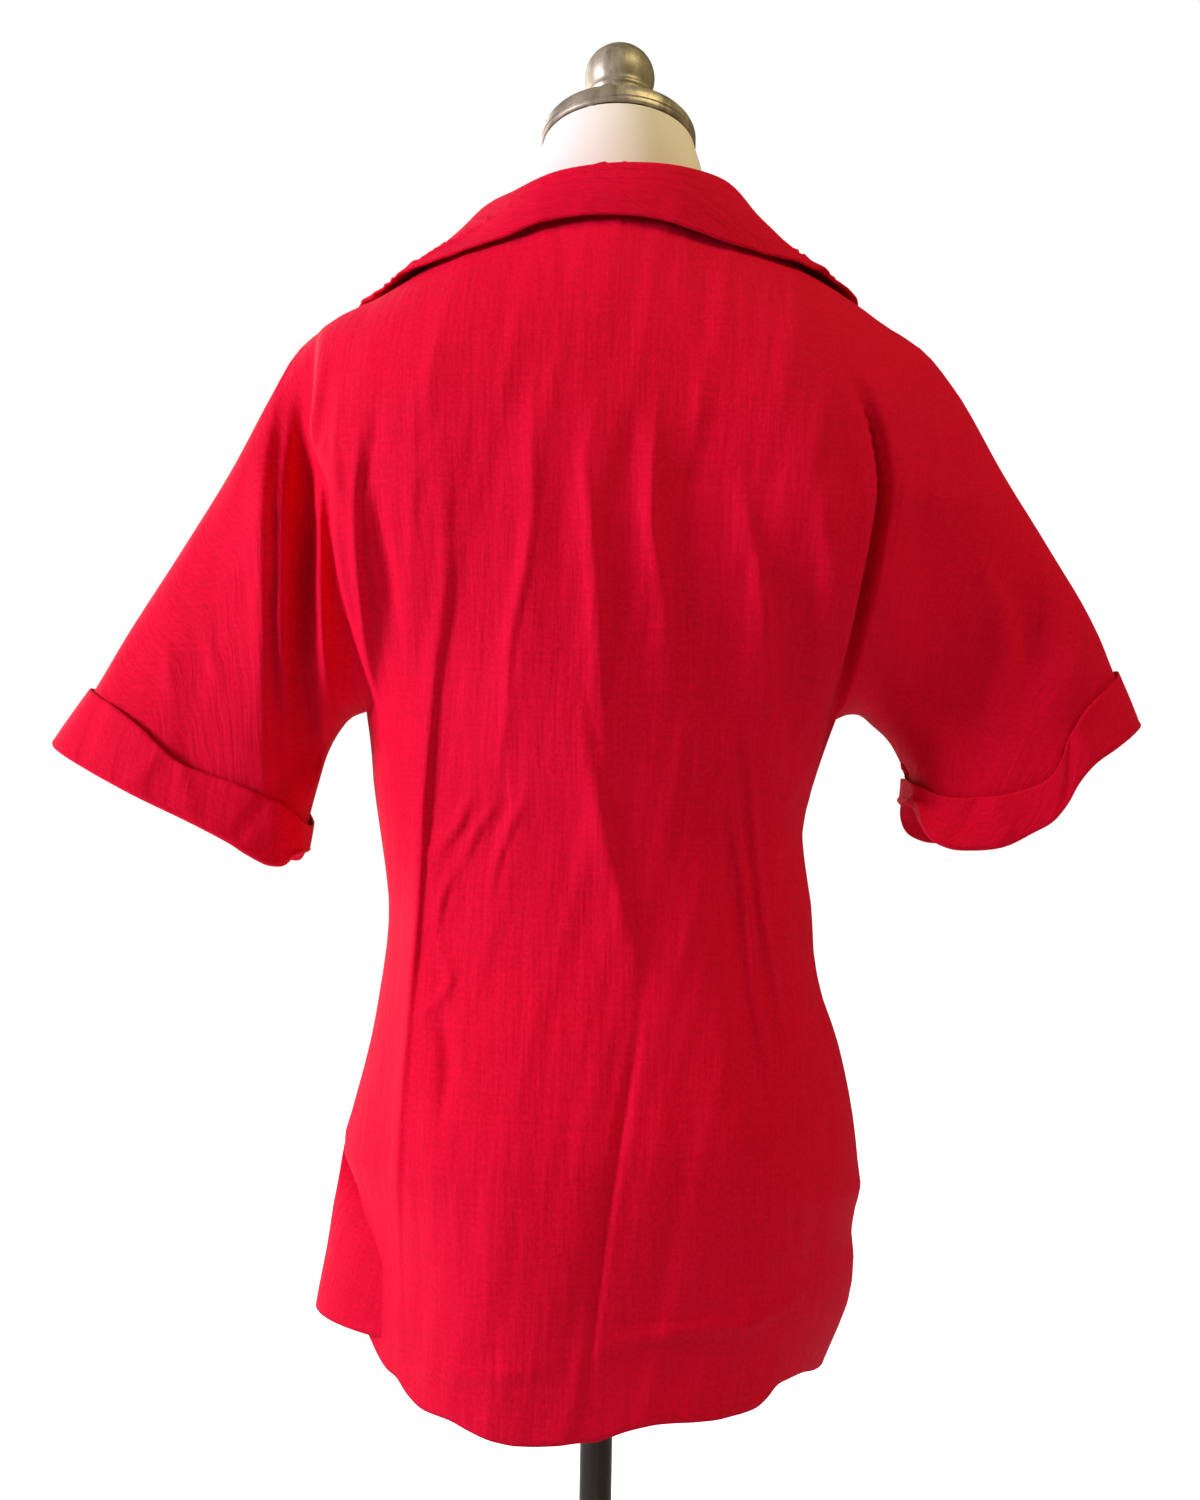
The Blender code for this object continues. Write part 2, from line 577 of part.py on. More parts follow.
def cuff(side):
    """A band round the end of a sleeve: the sleeve's own points between the cuff's edges, moved out."""
    facts = SIDES[side]
    q = (1 - np.cos(np.linspace(0, math.pi, CUFF_HALF_STEPS + 1))) / 2
    free, fold = through(facts["cuff"]["free"], q), through(facts["cuff"]["fold"], q)
    rows = np.linspace(0, 1, CUFF_ROWS + 1)[:, None, None]
    flat = fold + rows * (free - fold)
    under, top = through(facts["under"], EVEN), through(facts["top"], EVEN)
    flat = flat + (1 - q)[:, None] ** 2 * (onto(under, flat[:, 0]) - flat[:, 0])[:, None]
    flat = flat + q[:, None] ** 2 * (onto(top, flat[:, -1]) - flat[:, -1])[:, None]
    x, z = facts["sign"] * flat[..., 0], flat[..., 1]
    back = np.stack([x, cloth_y("back", x, z), z], -1)
    front = np.stack([x, cloth_y("front", x, z), z], -1)[:, -2:0:-1]
    ring = np.concatenate([back, front], 1)
    ring[:, [0, CUFF_HALF_STEPS], 1] = 0
    outward = -ring_normals(ring) * facts["sign"]
    ring = ring + outward * CUFF_STAND_OFF
    ring = np.concatenate([ring, ring[:, :1]], 1)
    name = "cuff_" + side
    mesh = sheet_mesh(name, [(ring, *ring.shape[:2], facts["sign"] > 0)], DOUBLE_CLOTH)
    return finished(name, mesh, RED, CLOTH_ROUGHNESS)


# The tie: straps from the front edges to the knot, and its two hanging ends.
STRAP = {"from_x": 46.0, "to_x": 17.5, "wide": 30.0, "narrow": 17.0, "lift": 3.0, "knot_lift": 9.0}
KNOT = {"width": 33.0, "height": 29.0, "depth": 18.0, "lift": 12.5}
TAIL_WIDTH = 32.0
TAIL_LEFT = [(9, 822, 12), (17, 795, 13), (27, 750, 12), (36, 668, 12)]    # x, z and height off the front
TAIL_RIGHT = [(-9, 822, 12), (-16, 790, 14), (-24, 745, 13), (-34, 650, 12)]
TAIL_ROWS = 12
TAIL_COLUMNS = 4


def strap(side):
    """A strip that lies on the front and gathers into the knot."""
    sign = SIDES[side]["sign"]
    t = np.linspace(0, 1, 7)[None, :]
    across = np.linspace(-0.5, 0.5, 6)[:, None]
    x = STRAP["from_x"] + t * (STRAP["to_x"] - STRAP["from_x"])
    z = KNOT_Z + across * (STRAP["wide"] + t * (STRAP["narrow"] - STRAP["wide"])) + 0 * x
    x = x + 0 * z
    pleat = 1.2 * t * np.cos(across * 4 * math.pi)
    lift = STRAP["lift"] + (STRAP["knot_lift"] - STRAP["lift"]) * smoothstep(0.2, 1, t) + pleat
    y = cloth_y("front", sign * x, z) - lift
    name = "tie_strap_" + side
    mesh = sheet_mesh(name, [(np.stack([sign * x, y, z], -1), *x.shape, sign > 0)], CLOTH)
    return finished(name, mesh, RED, CLOTH_ROUGHNESS)


def tail(side, route):
    """A hanging end of the tie, with a soft fold along its middle."""
    t = np.linspace(0, 1, TAIL_ROWS + 1)
    line = through(route, t)
    half = TAIL_WIDTH / 2 * (0.45 + 0.55 * smoothstep(0, 0.35, t))
    across = np.linspace(-1, 1, TAIL_COLUMNS + 1)
    x = line[:, :1] + half[:, None] * across
    slant = 9.0 * smoothstep(0.8, 1, t)[:, None] * across * SIDES[side]["sign"]
    z = line[:, 1:2] + slant + 0 * x
    middle = cloth_y("front", line[:, 0], line[:, 1])[:, None]
    fold = 3.5 * (1 - across**2) * (1 - 0.5 * t[:, None])
    y = middle - line[:, 2:3] - fold
    name = "tie_tail_" + side
    mesh = sheet_mesh(name, [(np.stack([x, y, z], -1), *x.shape, True)], CLOTH)
    return finished(name, mesh, RED, CLOTH_ROUGHNESS)


def knot():
    """The knot's wrap, one rounded solid with a slanting groove where a layer goes over."""
    mesh = bpy.data.meshes.new("tie_knot")
    work = bmesh.new()
    bmesh.ops.create_uvsphere(work, u_segments=16, v_segments=10, radius=1)
    middle = float(cloth_y("front", np.array([0.0]), np.array([KNOT_Z]))[0]) - KNOT["lift"]
    for vert in work.verts:
        x, y, z = vert.co
        groove = 1 - 0.14 * math.exp(-(((z + 0.5 * x - 0.15) / 0.16) ** 2))
        vert.co.x = x * groove * KNOT["width"] / 2 * MM
        vert.co.y = (middle + y * groove * KNOT["depth"] / 2) * MM
        vert.co.z = (KNOT_Z + z * KNOT["height"] / 2) * MM
    work.to_mesh(mesh)
    work.free()
    return finished("tie_knot", mesh, RED, CLOTH_ROUGHNESS)


# ---- dress form and stand -------------------------------------------------------------------------------------
FORM_SEGMENTS = 28


def lean(z):
    """How far forward the neck leans at a height."""
    return math.tan(math.radians(NECK_TILT)) * max(0.0, z - NECK_TILT_FROM) * 0.6


def form_torso():
    """A loft through the form's rings, closed by flat ends. The top ring tilts with the neck."""
    turn = np.linspace(0, 2 * math.pi, FORM_SEGMENTS, endpoint=False)
    points, faces = [], []
    for row, (z, half, back, front) in enumerate(FORM_RINGS):
        depth = np.where(np.sin(turn) > 0, back, front) * np.sin(turn)
        tilt = smoothstep(1225, FORM_RINGS[-1][0], z) * math.tan(math.radians(NECK_TILT)) * depth
        ring = np.stack([half * np.cos(turn), depth - lean(z), z + tilt], -1)
        points += [tuple(p * MM) for p in ring]
    count = FORM_SEGMENTS
    for row in range(len(FORM_RINGS) - 1):
        for i in range(count):
            j = (i + 1) % count
            faces.append((row * count + i, row * count + j, (row + 1) * count + j, (row + 1) * count + i))
    faces.append(tuple(range(count))[::-1])
    faces.append(tuple(range((len(FORM_RINGS) - 1) * count, len(FORM_RINGS) * count)))
    mesh = bpy.data.meshes.new("form_torso")
    mesh.from_pydata(points, [], faces)
    return finished("form_torso", mesh, CREAM, 0.8)


def turned(name, profile, segments, colour, roughness, metallic):
    """A round piece from (radius, height) pairs, listed from the bottom up, whose first and last are on its axis."""
    mesh = bpy.data.meshes.new(name)
    points = [(0, 0, profile[0][1] * MM)]
    faces = []
    for radius, height in profile[1:-1]:
        for i in range(segments):
            angle = 2 * math.pi * i / segments
            points.append((radius * math.cos(angle) * MM, radius * math.sin(angle) * MM, height * MM))
    points.append((0, 0, profile[-1][1] * MM))
    rings = len(profile) - 2
    for i in range(segments):
        j = (i + 1) % segments
        faces.append((0, 1 + j, 1 + i))
        for r in range(rings - 1):
            low, high = 1 + r * segments, 1 + (r + 1) * segments
            faces.append((low + i, low + j, high + j, high + i))
        last = 1 + (rings - 1) * segments
        faces.append((last + i, last + j, len(points) - 1))
    mesh.from_pydata(points, [], faces)
    return finished(name, mesh, colour, roughness, metallic)


CAP_PROFILE = [(0, 0.4), (49.0, 0.4), (CAP_RADIUS, 1.2), (CAP_RADIUS, 7.6), (47.6, 13.2), (42.0, 17.4), (34.0, 19.6),
               (0, 20.6)]
KNOB_PROFILE = [(0, 21.0), (24.6, 21.0), (25.0, 23.0), (21.6, 27.5), (22.4, 32.5), (21.6, 35.5), (22.2, 38.0),
                (20.6, 41.5), (22.6, 48.0), (23.0, 54.0), (21.6, 62.0), (17.6, 69.0), (11.0, 74.4), (0, 77.0)]


def neck_fittings():
    """The turned cap on the neck and the knob on it, both leaning with the neck."""
    seat = bpy.data.objects.new("neck_top", None)
    bpy.context.scene.collection.objects.link(seat)
    seat.location = (0, -lean(CAP_SEAT_Z) * MM, CAP_SEAT_Z * MM)
    seat.rotation_euler = (math.radians(NECK_TILT), 0, 0)
    cap = turned("form_neck_cap", CAP_PROFILE, 28, BRONZE, 0.35, 0.9)
    knob = turned("form_cap_knob", KNOB_PROFILE, 20, BRONZE, 0.3, 0.9)
    cap.parent = knob.parent = seat


def stand():
    """The pole from the foot up to the form's underside, and a round foot with a boss."""
    underside = FORM_RINGS[0][0]
    pole = [(0, 27.0), (POLE_RADIUS, 27.0), (POLE_RADIUS, underside - 0.4), (0, underside - 0.4)]
    foot = [(0, 0), (FOOT_RADIUS, 0), (FOOT_RADIUS, 6.0), (FOOT_RADIUS - 4.0, 9.0), (60.0, 13.0), (24.0, 15.0),
            (20.0, 19.0), (20.0, 26.0), (18.5, 26.6), (0, 26.6)]
    turned("stand_pole", pole, 20, DARK_METAL, 0.3, 0.9)
    turned("stand_base", foot, 36, DARK_METAL, 0.35, 0.9)


def main():
    for obj in list(bpy.data.objects):
        bpy.data.objects.remove(obj)
    panel("back", "back", ["left", "right"])
    panel("front_left", "front", ["left"])
    panel("front_right", "front", ["right"])
    collar()
    for side in SIDES:
        cuff(side)
        strap(side)
    tail("left", TAIL_LEFT)
    tail("right", TAIL_RIGHT)
    knot()
    form_torso()
    neck_fittings()
    stand()


main()
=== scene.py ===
import math

import bpy
import numpy as np
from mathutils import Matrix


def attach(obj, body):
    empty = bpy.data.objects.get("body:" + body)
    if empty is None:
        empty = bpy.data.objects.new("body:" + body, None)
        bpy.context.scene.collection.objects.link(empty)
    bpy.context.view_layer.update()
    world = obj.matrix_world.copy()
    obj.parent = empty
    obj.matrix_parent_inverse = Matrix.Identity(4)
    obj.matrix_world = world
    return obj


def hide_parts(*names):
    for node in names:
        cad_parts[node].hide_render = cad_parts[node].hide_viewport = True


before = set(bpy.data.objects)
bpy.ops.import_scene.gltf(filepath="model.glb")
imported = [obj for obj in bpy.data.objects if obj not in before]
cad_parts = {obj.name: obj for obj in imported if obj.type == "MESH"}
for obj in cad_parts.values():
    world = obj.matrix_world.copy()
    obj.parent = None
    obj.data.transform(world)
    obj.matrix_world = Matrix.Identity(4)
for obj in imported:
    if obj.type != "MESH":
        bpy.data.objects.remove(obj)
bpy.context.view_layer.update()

mm = 0.001
print("frame loaded:", len(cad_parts), "nodes")

# camera: behind the shirt, level, turned a little about its own axis
cameraView = {"place": (0.0053, 1.2, 0.9), "lens": 45.0, "sensor": 36.0, "roll": 1.0}


def newObject(name, data):
    # an object at the scene's origin
    made = bpy.data.objects.new(name, data)
    bpy.context.scene.collection.objects.link(made)
    return made


def makeCamera():
    camera = newObject("camera", bpy.data.cameras.new("camera"))
    bpy.context.scene.camera = camera
    camera.data.sensor_width = cameraView["sensor"]
    camera.data.lens = cameraView["lens"]
    camera.location = cameraView["place"]
    camera.rotation_euler = (math.radians(90), math.radians(-cameraView["roll"]), math.radians(180))


makeCamera()

# the shirt's driving sizes, in mm, as in the frame: x towards the wearer's left, y backwards, z up
shirt = {
    "wall": 1.1, "doubleWall": 1.6,   # one thickness of cloth, and the collar's
    "napeZ": 1226,                    # neckline at the centre of the back
    "neckSide": (65, 1233),           # x and z where the shoulder seam meets the neckline
    "knotZ": 842,
    "frontEdge": (4, 20),             # x of a front's edge at the knot and at the hem
    "frontHem": 520,                  # height from which that edge is measured upwards
    "roundness": 2.2,                 # exponent of the cross-sections, 2 is an ellipse
    "shoulderRoll": 95,               # how far below the shoulder line the cloth still turns
    "sleeveRoll": 85,
    "sleeveDepth": 42,                # half a sleeve's depth, front to back
    "sleeveBlend": (95, 265),         # x, from the body's depth to the sleeve's
    "rollBlend": (120, 200),          # x, from the body's rounding to the sleeve's
    "armpitZ": 922, "lowestHem": 495,
    "seamY": 0.05,                    # half the gap left at a seam
    "frontShift": 40,                 # moves the weave on the fronts, so that it doesn't repeat the back's
    # the left side vent: its top, how soon it is fully open, and how far out the back's edge then lies
    "ventTop": 645, "ventEase": 60, "ventLift": 44, "ventFrom": (60, 110),
    # the front's edge carried round under it: the oval's depth, how far past the back's edge, and its sinking
    "wrapDepth": 80, "wrapUnder": 16, "wrapDrop": 6,
}

bodyDepth = {  # height: (centre to back, centre to front)
    490: (115, 99), 520: (116, 100), 575: (118, 101), 640: (119, 101), 720: (104, 95), 800: (91, 88), 870: (94, 95),
    930: (100, 109), 1000: (106, 122), 1050: (108, 122), 1100: (107, 110), 1160: (98, 90), 1200: (88, 74),
    1265: (80, 64),
}

bodyOutline = {  # height: (back left, back right, front left, front right)
    500: (143, 137, 186, 146), 530: (144, 149, 183, 150), 552: (144, 158, 179.5, 154),
    590: (143, 161.5, 173, 159.5), 606: (147, 159.5, 171, 162), 620: (153, 165, 168.5, 163.5),
    645: (164, 163, 164.5, 163), 672: (158.5, 159.5, 158.5, 159.5), 697: (152, 154.5, 152, 154.5),
    722: (146.5, 148, 146.5, 148), 748: (142.5, 138.5, 142.5, 138.5), 775: (139, 133, 139, 133),
    800: (138, 131.5, 138, 131.5), 825: (141, 127.5, 141, 127.5), 850: (145, 124.5, 145, 124.5),
    875: (149, 129.5, 149, 129.5), 900: (151.5, 137.5, 151.5, 137.5), 922: (155, 145, 155, 145),
}

hems = {  # from the centre out to the side vent, as (x, z)
    ("left", "back"): [(0, 500), (60, 500), (74, 504), (86, 508), (108, 511), (115, 515), (120, 520), (129, 523),
                       (136, 529), (144, 541)],
    ("right", "back"): [(0, 500), (20, 506), (78, 508), (87, 509), (95, 511), (102, 516), (107, 521), (115, 523),
                        (125, 523), (133, 520), (143, 517)],
    ("left", "front"): [(10, 514), (60, 514), (120, 511), (155, 516), (170, 531), (182, 545)],
    ("right", "front"): [(10, 514), (60, 516), (120, 522), (152, 530)],
}

# Seam lines as (x, z): over the shoulder and sleeve, under the sleeve, and the cuff's two edges. back and front are
# the columns of bodyOutline.
sides = {
    "left": {
        "sign": 1, "back": 0, "front": 2,
        "top": [(65, 1233), (108, 1210), (150, 1184), (177, 1171), (204, 1149), (218, 1124),
                (243, 1075), (274, 1023), (308, 968), (328, 933), (350, 898)],
        "under": [(155, 922), (165, 918), (174, 907), (180, 895), (185, 878), (191, 854), (195, 834)],
        "free": [(191, 849), (201, 861), (213, 868), (225, 874), (243, 880), (266, 889), (278, 899), (288, 908),
                 (305, 920), (328, 932)],
        "fold": [(194, 834), (200, 826), (208, 826), (220, 832), (232, 840), (249, 849), (288, 867), (315, 880),
                 (348, 896)],
    },
    "right": {
        "sign": -1, "back": 1, "front": 3,
        "top": [(65, 1234), (106, 1212), (147, 1188), (168, 1174), (198, 1155), (218, 1131),
                (247, 1083), (279, 1032), (309, 981), (321, 955), (334, 922)],
        "under": [(145, 922), (152, 925), (161, 925), (170, 918), (179, 910), (187, 897), (192, 884), (192, 872)],
        "free": [(192, 886), (204, 877), (232, 875), (256, 880), (268, 885), (275, 893), (279, 902), (282, 914),
                 (289, 927), (299, 938), (316, 953)],
        "fold": [(192, 872), (194, 860), (200, 850), (210, 845), (227, 844), (246, 847), (262, 855), (275, 863),
                 (283, 873), (290, 886), (299, 897), (315, 908), (334, 921)],
    },
}
shoulderTip = 4   # the row of a top line where the seam leaves the shoulder for the sleeve
neckPeak = [(65, 1233), (48, 1243), (26, 1251), (0, 1255)]

# Large folds: half-width on the +X side and on the -X side, height, then x and z of the points it runs through.
backFolds = [
    # the deep fold beside the body on the left: its sleeve side slopes, its body side is steep
    (27, 3, -38, 188, 1160, 189, 1107, 190, 1089, 183, 1070, 176, 1056, 173, 1034, 170, 1010, 162, 977,
     154, 950, 144, 915),
    (6, 13, -13, 194, 1130, 197, 1090, 197, 1050, 196, 1014, 195, 977, 194, 928, 193, 850),
    (5, 4.5, -9, 190, 1090, 190, 1036, 189, 989, 186, 920, 183, 850),
    (14, 14, -10, 196, 960, 196, 900, 200, 830),
    # the broad tilts of the back: blade, seat and the sleeve's outer plane
    (42, 70, 9, 100, 770, 88, 690, 80, 600, 76, 500, 74, 400),
    (60, 150, 8, 60, 760, 60, 690, 60, 600, 60, 400),
    (85, 105, -9, -30, 672, -36, 600, -40, 520, -44, 420),
    (66, 60, 9, 30, 1170, 24, 1060, 22, 960, 20, 850),
    (42, 30, 11, -292, 1080, -296, 980, -304, 900, -310, 840),
    (9, 11, 4, 160, 1110, 154, 1030, 140, 925),
    (9, 10, 3, 128, 1000, 130, 930, 134, 820),
    (15, 15, 6, 118, 1060, 119, 960, 108, 560),
    (12, 12, 3.4, 44, 1120, 46, 1010, 62, 880),
    (12, 12, 3.6, 8, 1120, 10, 1020, 2, 900),
    (11, 11, 3.6, -26, 1110, -24, 1010, -36, 920),
    (14, 14, 3, 20, 930, -2, 820, -17, 750),
    (12, 12, 4, -78, 1050, -90, 940, -104, 850),
    (12, 12, -5, -70, 900, -84, 760, -112, 650),
    # the crevice beside the body on the right, and the sleeve's hollows
    (3, 4.4, -22, -140, 1124, -151, 1100, -157, 1080, -160, 1059, -157, 1031, -152, 1001, -147, 970,
     -142, 939, -136, 905, -129, 878),
    (12, 14, 7, -120, 1070, -132, 990, -124, 900),
    (24, 40, -20, -190, 1060, -194, 1010, -196, 950, -206, 870),
    (13, 8, 4, -236, 1010, -248, 950, -236, 890),
    (10, 5, -5, -258, 1010, -258, 960, -254, 900),
]
frontFolds = [
    (12, 12, 6, 62, 1100, 46, 980, 22, 880),
    (12, 12, 7, 122, 1010, 86, 920, 34, 858),
    (11, 11, 5, 150, 890, 100, 862, 46, 844),
    (11, 11, 5, 138, 760, 86, 808, 36, 834),
    (13, 13, 7, 66, 560, 54, 700, 30, 806),
    (13, 13, 6, 120, 560, 104, 680, 70, 780),
    (11, 11, -11, 188, 1140, 184, 1020, 160, 922),
    (12, 12, -7, 212, 1120, 216, 1010, 212, 900),
    (12, 12, 6, -68, 1090, -48, 985, -22, 878),
    (12, 12, 7, -114, 1020, -82, 925, -34, 858),
    (11, 11, 4, -126, 890, -92, 864, -44, 846),
    (11, 11, 5, -130, 750, -84, 804, -36, 832),
    (13, 13, 7, -58, 558, -48, 695, -28, 804),
    (13, 13, 6, -110, 565, -96, 680, -66, 780),
    (11, 11, -10, -178, 1140, -176, 1020, -152, 922),
    (12, 12, -7, -208, 1110, -214, 1000, -206, 920),
]

# Fine creases, in the same columns. Most have one soft flank and one sharp one, as pressed linen has.
backCreases = [
    # left of the back: the long ridge down to the hem, and the blade's folds
    (9, 3, 3.2, 97, 1060, 97, 986, 103, 951, 109, 892, 113, 822, 117, 749, 120, 690, 121, 630, 120, 560,
     118, 515),
    (6, 9, -1.8, 108, 700, 107, 640, 107, 560, 110, 520),
    (5, 3, 2.8, 146, 1104, 152, 1060, 151, 1012, 147, 964, 144, 905),
    (7, 6, -2.4, 143, 1068, 138, 1030, 131, 993, 125, 950),
    (4, 4, -1.5, 138, 1135, 139, 1095, 143, 1071, 151, 1046),
    (5, 4, -2.4, 171, 1130, 177, 1097, 179, 1082, 174, 1060, 165, 1030),
    (4, 5, 1.6, 163, 1120, 167, 1090, 165, 1062, 158, 1036),
    (5, 3.5, 1.4, 98, 1080, 109, 1067, 116, 1051, 118, 1021),
    (6, 5, 0.9, 100, 1162, 106, 1133, 114, 1106),
    (6, 5, 0.9, 138, 1121, 139, 1103, 136, 1085),
    (6, 2.8, 1.5, 46, 1111, 48, 1075, 46, 1046, 51, 1002, 59, 958, 61, 914, 67, 875),
    (4, 3, 0.9, 65, 1127, 66, 1113, 65, 1097),
    (4, 3, 0.8, 37, 1129, 38, 1114, 36, 1098),
    # the wrinkled patch above the waist
    (5, 3, 2.2, 81, 872, 92, 849, 106, 834),
    (5, 3, 1.8, 48, 873, 63, 840, 70, 811),
    (4, 3, 1.8, 89, 828, 98, 813, 102, 790),
    (4, 3, 1.8, 63, 870, 77, 852, 87, 829),
    (4, 4, 2, 100, 779, 93, 761, 111, 737),
    (7, 6, -3.2, 98, 744, 92, 715, 95, 682),
    # centre
    (8, 3.5, 2, 10, 1099, 17, 1070, 12, 1032, 8, 988, 4, 900),
    (7, 2.6, 2.2, -25, 1103, -23, 1065, -23, 1030, -31, 997, -33, 971, -39, 948),
    (9, 5, 1.7, 18, 929, 9, 885, -1, 840, -13, 796, -20, 766),
    (3.5, 4.5, -2, -23, 762, -18, 727, -13, 695, -3, 632, 3, 573, 10, 504),
    (4, 4, -1.2, -49, 913, -46, 883, -43, 856, -40, 830),
    # right of the back
    (7, 3.5, 1.8, -73, 1072, -79, 1036, -89, 996, -95, 949, -105, 902, -109, 870),
    (5, 3, 1.3, -111, 996, -110, 937, -105, 896),
    (7, 2.6, 3, -69, 931, -77, 863, -87, 797, -94, 738, -103, 699, -114, 670),
    (5, 2.6, 2.4, -82, 916, -89, 856, -97, 797, -112, 717),
    (3.5, 2.6, 0.8, -48, 1115, -49, 1102, -48, 1089),
    (3, 3, -0.8, -48, 1074, -43, 1060, -38, 1047),
    (4, 3, 1.2, -130, 932, -117, 913, -105, 896),
    (4, 3, 1.2, -133, 908, -120, 885, -108, 864),
    (3.5, 3.5, -1.4, -131, 747, -138, 724, -144, 700),
    (4, 3, 1, -109, 649, -111, 620, -114, 589),
    (4, 3, 0.9, -117, 649, -120, 621, -123, 589),
    # the pressed line of the hem, on either side of the centre
    (3, 6, 1.8, 120, 531, 69, 537, 22, 546),
    (2.8, 6, 2.6, -1, 553, -33, 560, -63, 562, -87, 562, -101, 567, -126, 578),
    # left sleeve, from its lit plane in to the body's edge
    (11, 3, 3, 214, 1130, 217, 1080, 216, 1050, 214, 1013, 212, 964, 211, 905, 211, 850),
    (3, 3.5, -2, 208, 1120, 210, 1078, 209, 1050, 207, 1013, 206, 964, 205, 905, 205, 850),
    (4.5, 4.5, 3, 202, 1090, 202, 1050, 201, 1013, 200, 964, 199, 890),
    (4.5, 4, 4.6, 184, 1076, 181, 1036, 179, 1000, 176, 960, 173, 916),
    (3, 12, 3.4, 182, 1150, 183, 1107, 184, 1089, 177, 1070, 170, 1056, 167, 1034, 164, 1010, 156, 977,
     148, 950, 139, 918),
    (5, 4, 1.2, 277, 969, 274, 951, 271, 932),
    (5, 4, 1.2, 256, 988, 248, 960, 240, 933),
    # right sleeve
    (9, 3, 3, -143, 1110, -151, 1080, -154, 1059, -151, 1031, -146, 1001, -141, 970, -136, 930),
    (3, 7, 2, -171, 1090, -174, 1060, -171, 1030, -164, 1000),
    (4, 4, -1.3, -192, 1064, -188, 1045, -184, 1027),
    (4, 4, -1, -189, 1101, -189, 1088, -189, 1076),
    (4, 4, -1, -213, 1089, -214, 1073, -214, 1058),
    (3, 3, -2, -264, 1020, -265, 990, -265, 940, -264, 890),
    (6, 5, 1.2, -222, 1040, -232, 1010, -246, 985),
    (5, 4, 1.6, -196, 1110, -200, 1080, -194, 1050, -186, 1022),
]
frontCreases = [
    # drawn up into the knot from the shoulders, the bust, the waist and the hem
    (6, 3.5, 2, 88, 1150, 70, 1040, 42, 930, 22, 868),
    (6, 3.5, 2.2, 104, 1060, 84, 970, 50, 890, 26, 858),
    (4, 6, 1.8, 134, 960, 104, 900, 64, 862, 34, 848),
    (3, 6, 1.5, 142, 862, 108, 850, 72, 842, 40, 840),
    (5, 3, 1.5, 132, 812, 100, 822, 68, 830, 40, 834),
    (6, 3.5, 1.9, 126, 720, 92, 770, 62, 806, 34, 826),
    (6, 3.5, 2, 96, 610, 82, 700, 58, 770, 28, 816),
    (5, 3, 1.6, 44, 600, 42, 690, 34, 760, 20, 812),
    (7, 4, 1.6, 150, 700, 142, 640, 146, 570),
    (5, 4, 2.2, 182, 1110, 176, 1040, 162, 970, 152, 926),
    (5, 4, -1.8, 206, 1100, 210, 1030, 204, 960),
    (6, 4, 1.3, 250, 1000, 246, 960, 248, 915),
    (3.5, 6, 2, -94, 1140, -74, 1036, -44, 926, -22, 866),
    (3.5, 6, 2, -110, 1050, -86, 960, -52, 888, -26, 856),
    (6, 4, 1.7, -126, 950, -98, 896, -62, 860, -34, 847),
    (6, 3, 1.4, -122, 858, -96, 848, -68, 842, -40, 840),
    (3, 5, 1.5, -124, 806, -96, 818, -66, 829, -40, 834),
    (3.5, 6, 1.8, -128, 716, -94, 768, -60, 805, -34, 825),
    (3.5, 6, 2, -90, 600, -78, 694, -54, 768, -28, 815),
    (3, 5, 1.5, -40, 590, -40, 684, -32, 758, -20, 811),
    (4, 7, 1.5, -144, 700, -136, 640, -138, 570),
    (4, 5, 2, -174, 1104, -168, 1036, -156, 972, -146, 926),
    (4, 5, -1.8, -204, 1090, -206, 1024, -198, 960),
    (5, 5, 1.3, -246, 1010, -250, 962, -244, 920),
    # the pressed line of the hem
    (6, 2.8, 1.3, 150, 574, 100, 566, 56, 560, 24, 558),
    (2.8, 6, 1.3, -24, 558, -60, 561, -104, 566, -142, 572),
]
foldShape = {
    "cuffKeep": (16.0, 62.0),     # large folds fade between these distances from a cuff's fold
    "creaseKeep": (16.0, 40.0),   # and the fine creases between these
    "creaseHeight": 1.4, "creaseWidth": 0.78,   # heights and widths of the fine creases are times these
    "farthest": 3.2,              # a fold is worked out as far as this many half-widths away
    "endFade": 0.7,               # power of the sine that fades a fold towards its ends
    "edgeFade": 22.0,             # all relief grows from nothing where the cloth bulges this much
}
# faint unevenness of all the cloth: height in mm, three waves in turns per 1.9 mm, and how far they wander
ripple = {"height": 0.35, "across": (0.047, 0.083, 0.129), "down": (0.011, 0.019, 0.031), "wander": 1.3}

# curves, and the depth of the cloth at any (x, z)


def smoothstep(low, high, value):
    # 0 below low, 1 above high, and a soft S between
    t = np.clip((np.asarray(value, float) - low) / (high - low), 0, 1)
    return t * t * (3 - 2 * t)


def hermite(knots, values, at):
    # piecewise cubic through the values, with the slopes of their neighbours
    slopes = np.gradient(values, knots, axis=0)
    i = np.clip(np.searchsorted(knots, at, side="right") - 1, 0, len(knots) - 2)
    shape = np.shape(at) + (1,) * (values.ndim - 1)
    span = (knots[i + 1] - knots[i]).reshape(shape)
    f = (at - knots[i]).reshape(shape) / span
    return (values[i] * (2 * f**3 - 3 * f**2 + 1) + values[i + 1] * (3 * f**2 - 2 * f**3)
            + slopes[i] * span * (f**3 - 2 * f**2 + f) + slopes[i + 1] * span * (f**3 - f**2))


def through(points, t):
    # the smooth curve through points, where t from 0 to 1 runs along their chords
    points = np.asarray(points, float)
    steps = np.linalg.norm(np.diff(points, axis=0), axis=1)
    knots = np.concatenate([[0], np.cumsum(steps)]) / steps.sum()
    return hermite(knots, points, np.clip(np.asarray(t, float), 0, 1))


